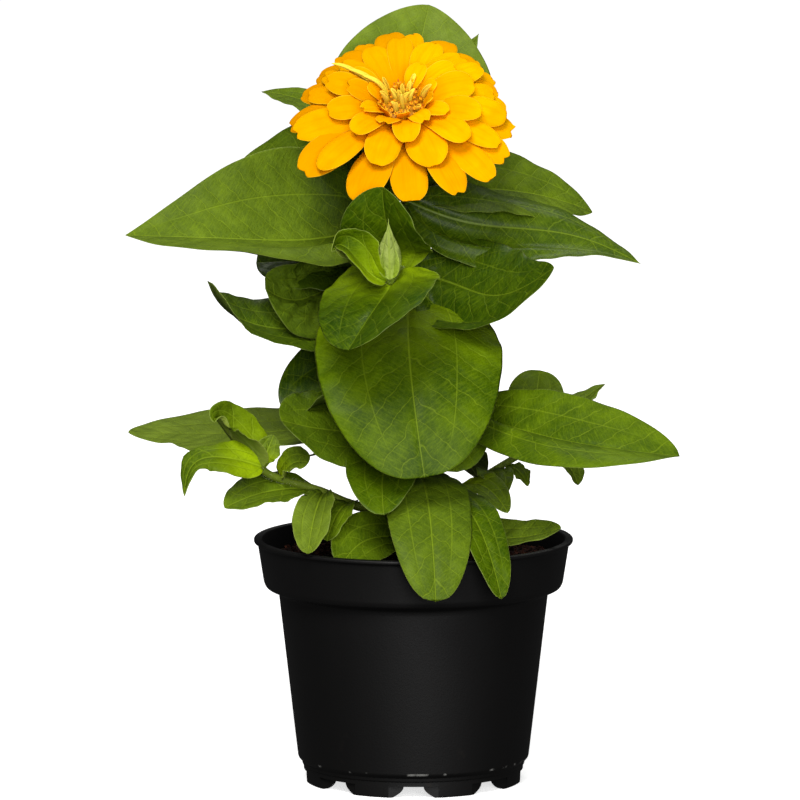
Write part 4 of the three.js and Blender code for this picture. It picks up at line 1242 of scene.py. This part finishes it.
def cut(mesh, cutters):
    body = show("body", mesh)
    tools = [show(cutter.name, cutter) for cutter in cutters]
    for tool in tools:
        modifier = body.modifiers.new("cut", "BOOLEAN")
        modifier.operation = "DIFFERENCE"
        modifier.object = tool
    graph = bpy.context.evaluated_depsgraph_get()
    result = bpy.data.meshes.new_from_object(body.evaluated_get(graph))
    for made in [body, *tools]:
        bpy.data.objects.remove(made)
    return result


turns = [math.radians(360 / FOOT_NOTCHES * k) for k in range(FOOT_NOTCHES)]
recesses = join_meshes("recesses", [prism("recess", RECESS_OUTLINE, *RECESS_RUN, turn) for turn in turns])
slots = join_meshes("slots", [prism("slot", flared_slot(), *NOTCH_RUN, turn) for turn in turns])
drains = []
for turn in turns:
    drain = prism("drain", circle(DRAIN_RADIUS, 24), *DRAIN_RUN, 0)
    drain.transform(Matrix.Rotation(math.pi / 2, 4, "X"))
    drain.transform(Matrix.Rotation(turn, 4, "Z") @ Matrix.Translation(Vector(DRAIN_PLACE) * MM))
    drains.append(drain)
pot = cut(lathe("pot", rounded(POT_PROFILE, 0.7), 144), [recesses, slots, join_meshes("drains", drains)])
print("pot cut:", len(pot.polygons), "faces")

# %% [markdown]
# ## Black pot plastic
# Thin polypropylene is black with a dull satin sheen. It has a faint mould texture, a little
# soil dust, and a pale broken line on the edge above the foot, partly scuffs where pots rub in
# their tray and partly a painted highlight along that edge.

# %% Pot finish


# height of the pale line on the step edge: partly scuffs, partly a painted highlight
SCUFF_AND_HIGHLIGHT_HEIGHT = 9.2
SHARP_EDGE = 34


def pot_finish():
    finish = Finish("pot_plastic", Specular_IOR_Level=0.33)
    place = finish.place()
    _, _, z = finish.parts(place)
    texture = finish.grain(place, 1400.0, 2.0)
    drawn = finish.node("ShaderNodeMapping", {}, {"Vector": place, "Scale": (1, 1, 0.25)})
    smear = finish.grain(drawn, 30.0, 4.0)
    black = finish.blend(smear, colour(3, 3, 3), colour(7, 6, 6))
    scratch = finish.step(finish.grain(place, 220.0, 4.0), 0.55, 0.66)
    # pale broken line on the step edge: partly scuffs, partly a painted highlight
    scuff_and_highlight = finish.line(abs(z - SCUFF_AND_HIGHLIGHT_HEIGHT * MM), 0.4 * MM) * scratch
    dust = finish.step(finish.grain(place, 95.0, 5.0), 0.62, 0.8) * (1 - finish.step(z, 0.0, 0.03))
    black = finish.blend(scuff_and_highlight * 0.6, black, colour(150, 150, 146))
    finish.feed("Base Color", finish.blend(dust * 0.12, black, colour(92, 74, 56)))
    finish.feed("Roughness", 0.5 + smear * 0.1 + dust * 0.2)
    finish.bump(texture + scratch * 0.2, 0.00008, 0.5)
    return finish


pot_plastic = pot_finish()
dress("pot", pot, pot_plastic, "pot_plastic", "pot")
pot.set_sharp_from_angle(angle=math.radians(SHARP_EDGE))

# %% [markdown]
# ## Potting soil
# The soil is a dark brown mix of peat, bark crumbs and a few pale grains. The body is a closed
# form that fits the inside of the pot, with an uneven top. Crumbs repeat, so Geometry Nodes
# scatter a small lumpy stone over the top, with random sizes and turns.

# %% Soil body and crumbs
SOIL_EDGE = 55.4
SOIL_FLOOR, SOIL_LEVEL = 6.3, 84
ROUGH_ABOVE, CRUMBS_ABOVE = 82.9, 82.6


def soil_profile():
    inside = [(41.6, SOIL_FLOOR), (48.7, 71.5), (54.4, 75.5), (SOIL_EDGE, 82.5), (SOIL_EDGE - 0.5, 83.2)]
    top = [(radius, SOIL_LEVEL) for radius in np.linspace(SOIL_EDGE - 2, 1, 44)]
    return [(0, SOIL_FLOOR), *inside, *top, (0, SOIL_LEVEL)]


def soil_mesh():
    mesh = lathe("soil", soil_profile(), 150)
    for vertex in mesh.vertices:
        if vertex.co.z > ROUGH_ABOVE * MM:
            spot = vertex.co * 1000
            low = noise.fractal(spot * 0.09, 1, 2, 3) * 1.5
            rough = noise.fractal(spot * 0.55, 1, 2, 4) * 0.55
            vertex.co.z += (low + rough) * MM * min(1, (SOIL_EDGE - spot.xy.length) / 3)
    return mesh


def crumb_tree():
    tree = Growth("soil_crumbs")
    density = tree.input("Density")
    size = tree.input("Crumb size")
    seed = tree.input("Seed", "Int")
    place = tree.node("GeometryNodeInputPosition")
    _, _, height = tree.parts(place)
    on_top = height.math("GREATER_THAN", CRUMBS_ABOVE * MM)
    spread = tree.node("GeometryNodeDistributePointsOnFaces", {}, {
        "Mesh": tree.source(), "Selection": on_top, "Density": density, "Seed": seed})
    ball = tree.node("GeometryNodeMeshIcoSphere", {}, {"Radius": size, "Subdivisions": 2})
    lump = tree.node("ShaderNodeTexNoise", {}, {"Vector": place, "Scale": 1400.0}, "Color")
    offset = tree.node("ShaderNodeVectorMath", {"operation": "SUBTRACT"}, {0: lump, 1: (0.5, 0.5, 0.5)})
    offset = tree.node("ShaderNodeVectorMath", {"operation": "SCALE"}, {0: offset, "Scale": size * 1.6})
    ball = tree.node("GeometryNodeSetPosition", {}, {"Geometry": ball, "Offset": offset})
    crumbs = tree.node("GeometryNodeInstanceOnPoints", {}, {
        "Points": spread, "Instance": ball,
        "Rotation": tree.random((0, 0, 0), (6.3, 6.3, 6.3), seed, "FLOAT_VECTOR"),
        "Scale": tree.random((0.35, 0.35, 0.3), (1.5, 1.1, 0.9), seed + 1, "FLOAT_VECTOR")})
    tree.end(crumbs)
    return tree


def soil_finish():
    finish = Finish("potting_soil", Roughness=0.95, Specular_IOR_Level=0.15)
    place = finish.place()
    lumps = finish.grain(place, 420.0, 5.0)
    bits = finish.grain(place, 160.0, 2.0)
    brown = finish.blend(finish.step(lumps, 0.35, 0.7), colour(20, 10, 6), colour(62, 30, 20))
    brown = finish.blend(finish.step(bits, 0.62, 0.68) * 0.6, brown, colour(96, 52, 34))
    finish.feed("Base Color", finish.blend(finish.step(lumps, 0.72, 0.76), brown, colour(134, 96, 70)))
    finish.bump(lumps, 0.0012, 0.9)
    return finish


potting_soil = soil_finish()
soil = soil_mesh()
crumbs = crumb_tree().grow(soil.copy(), potting_soil, Density=1.6e5, Crumb_size=0.9 * MM, Seed=4)
dress("soil", soil, potting_soil, "potting_soil", "soil")
dress("soil_crumbs", crumbs, potting_soil, "potting_soil", "soil")
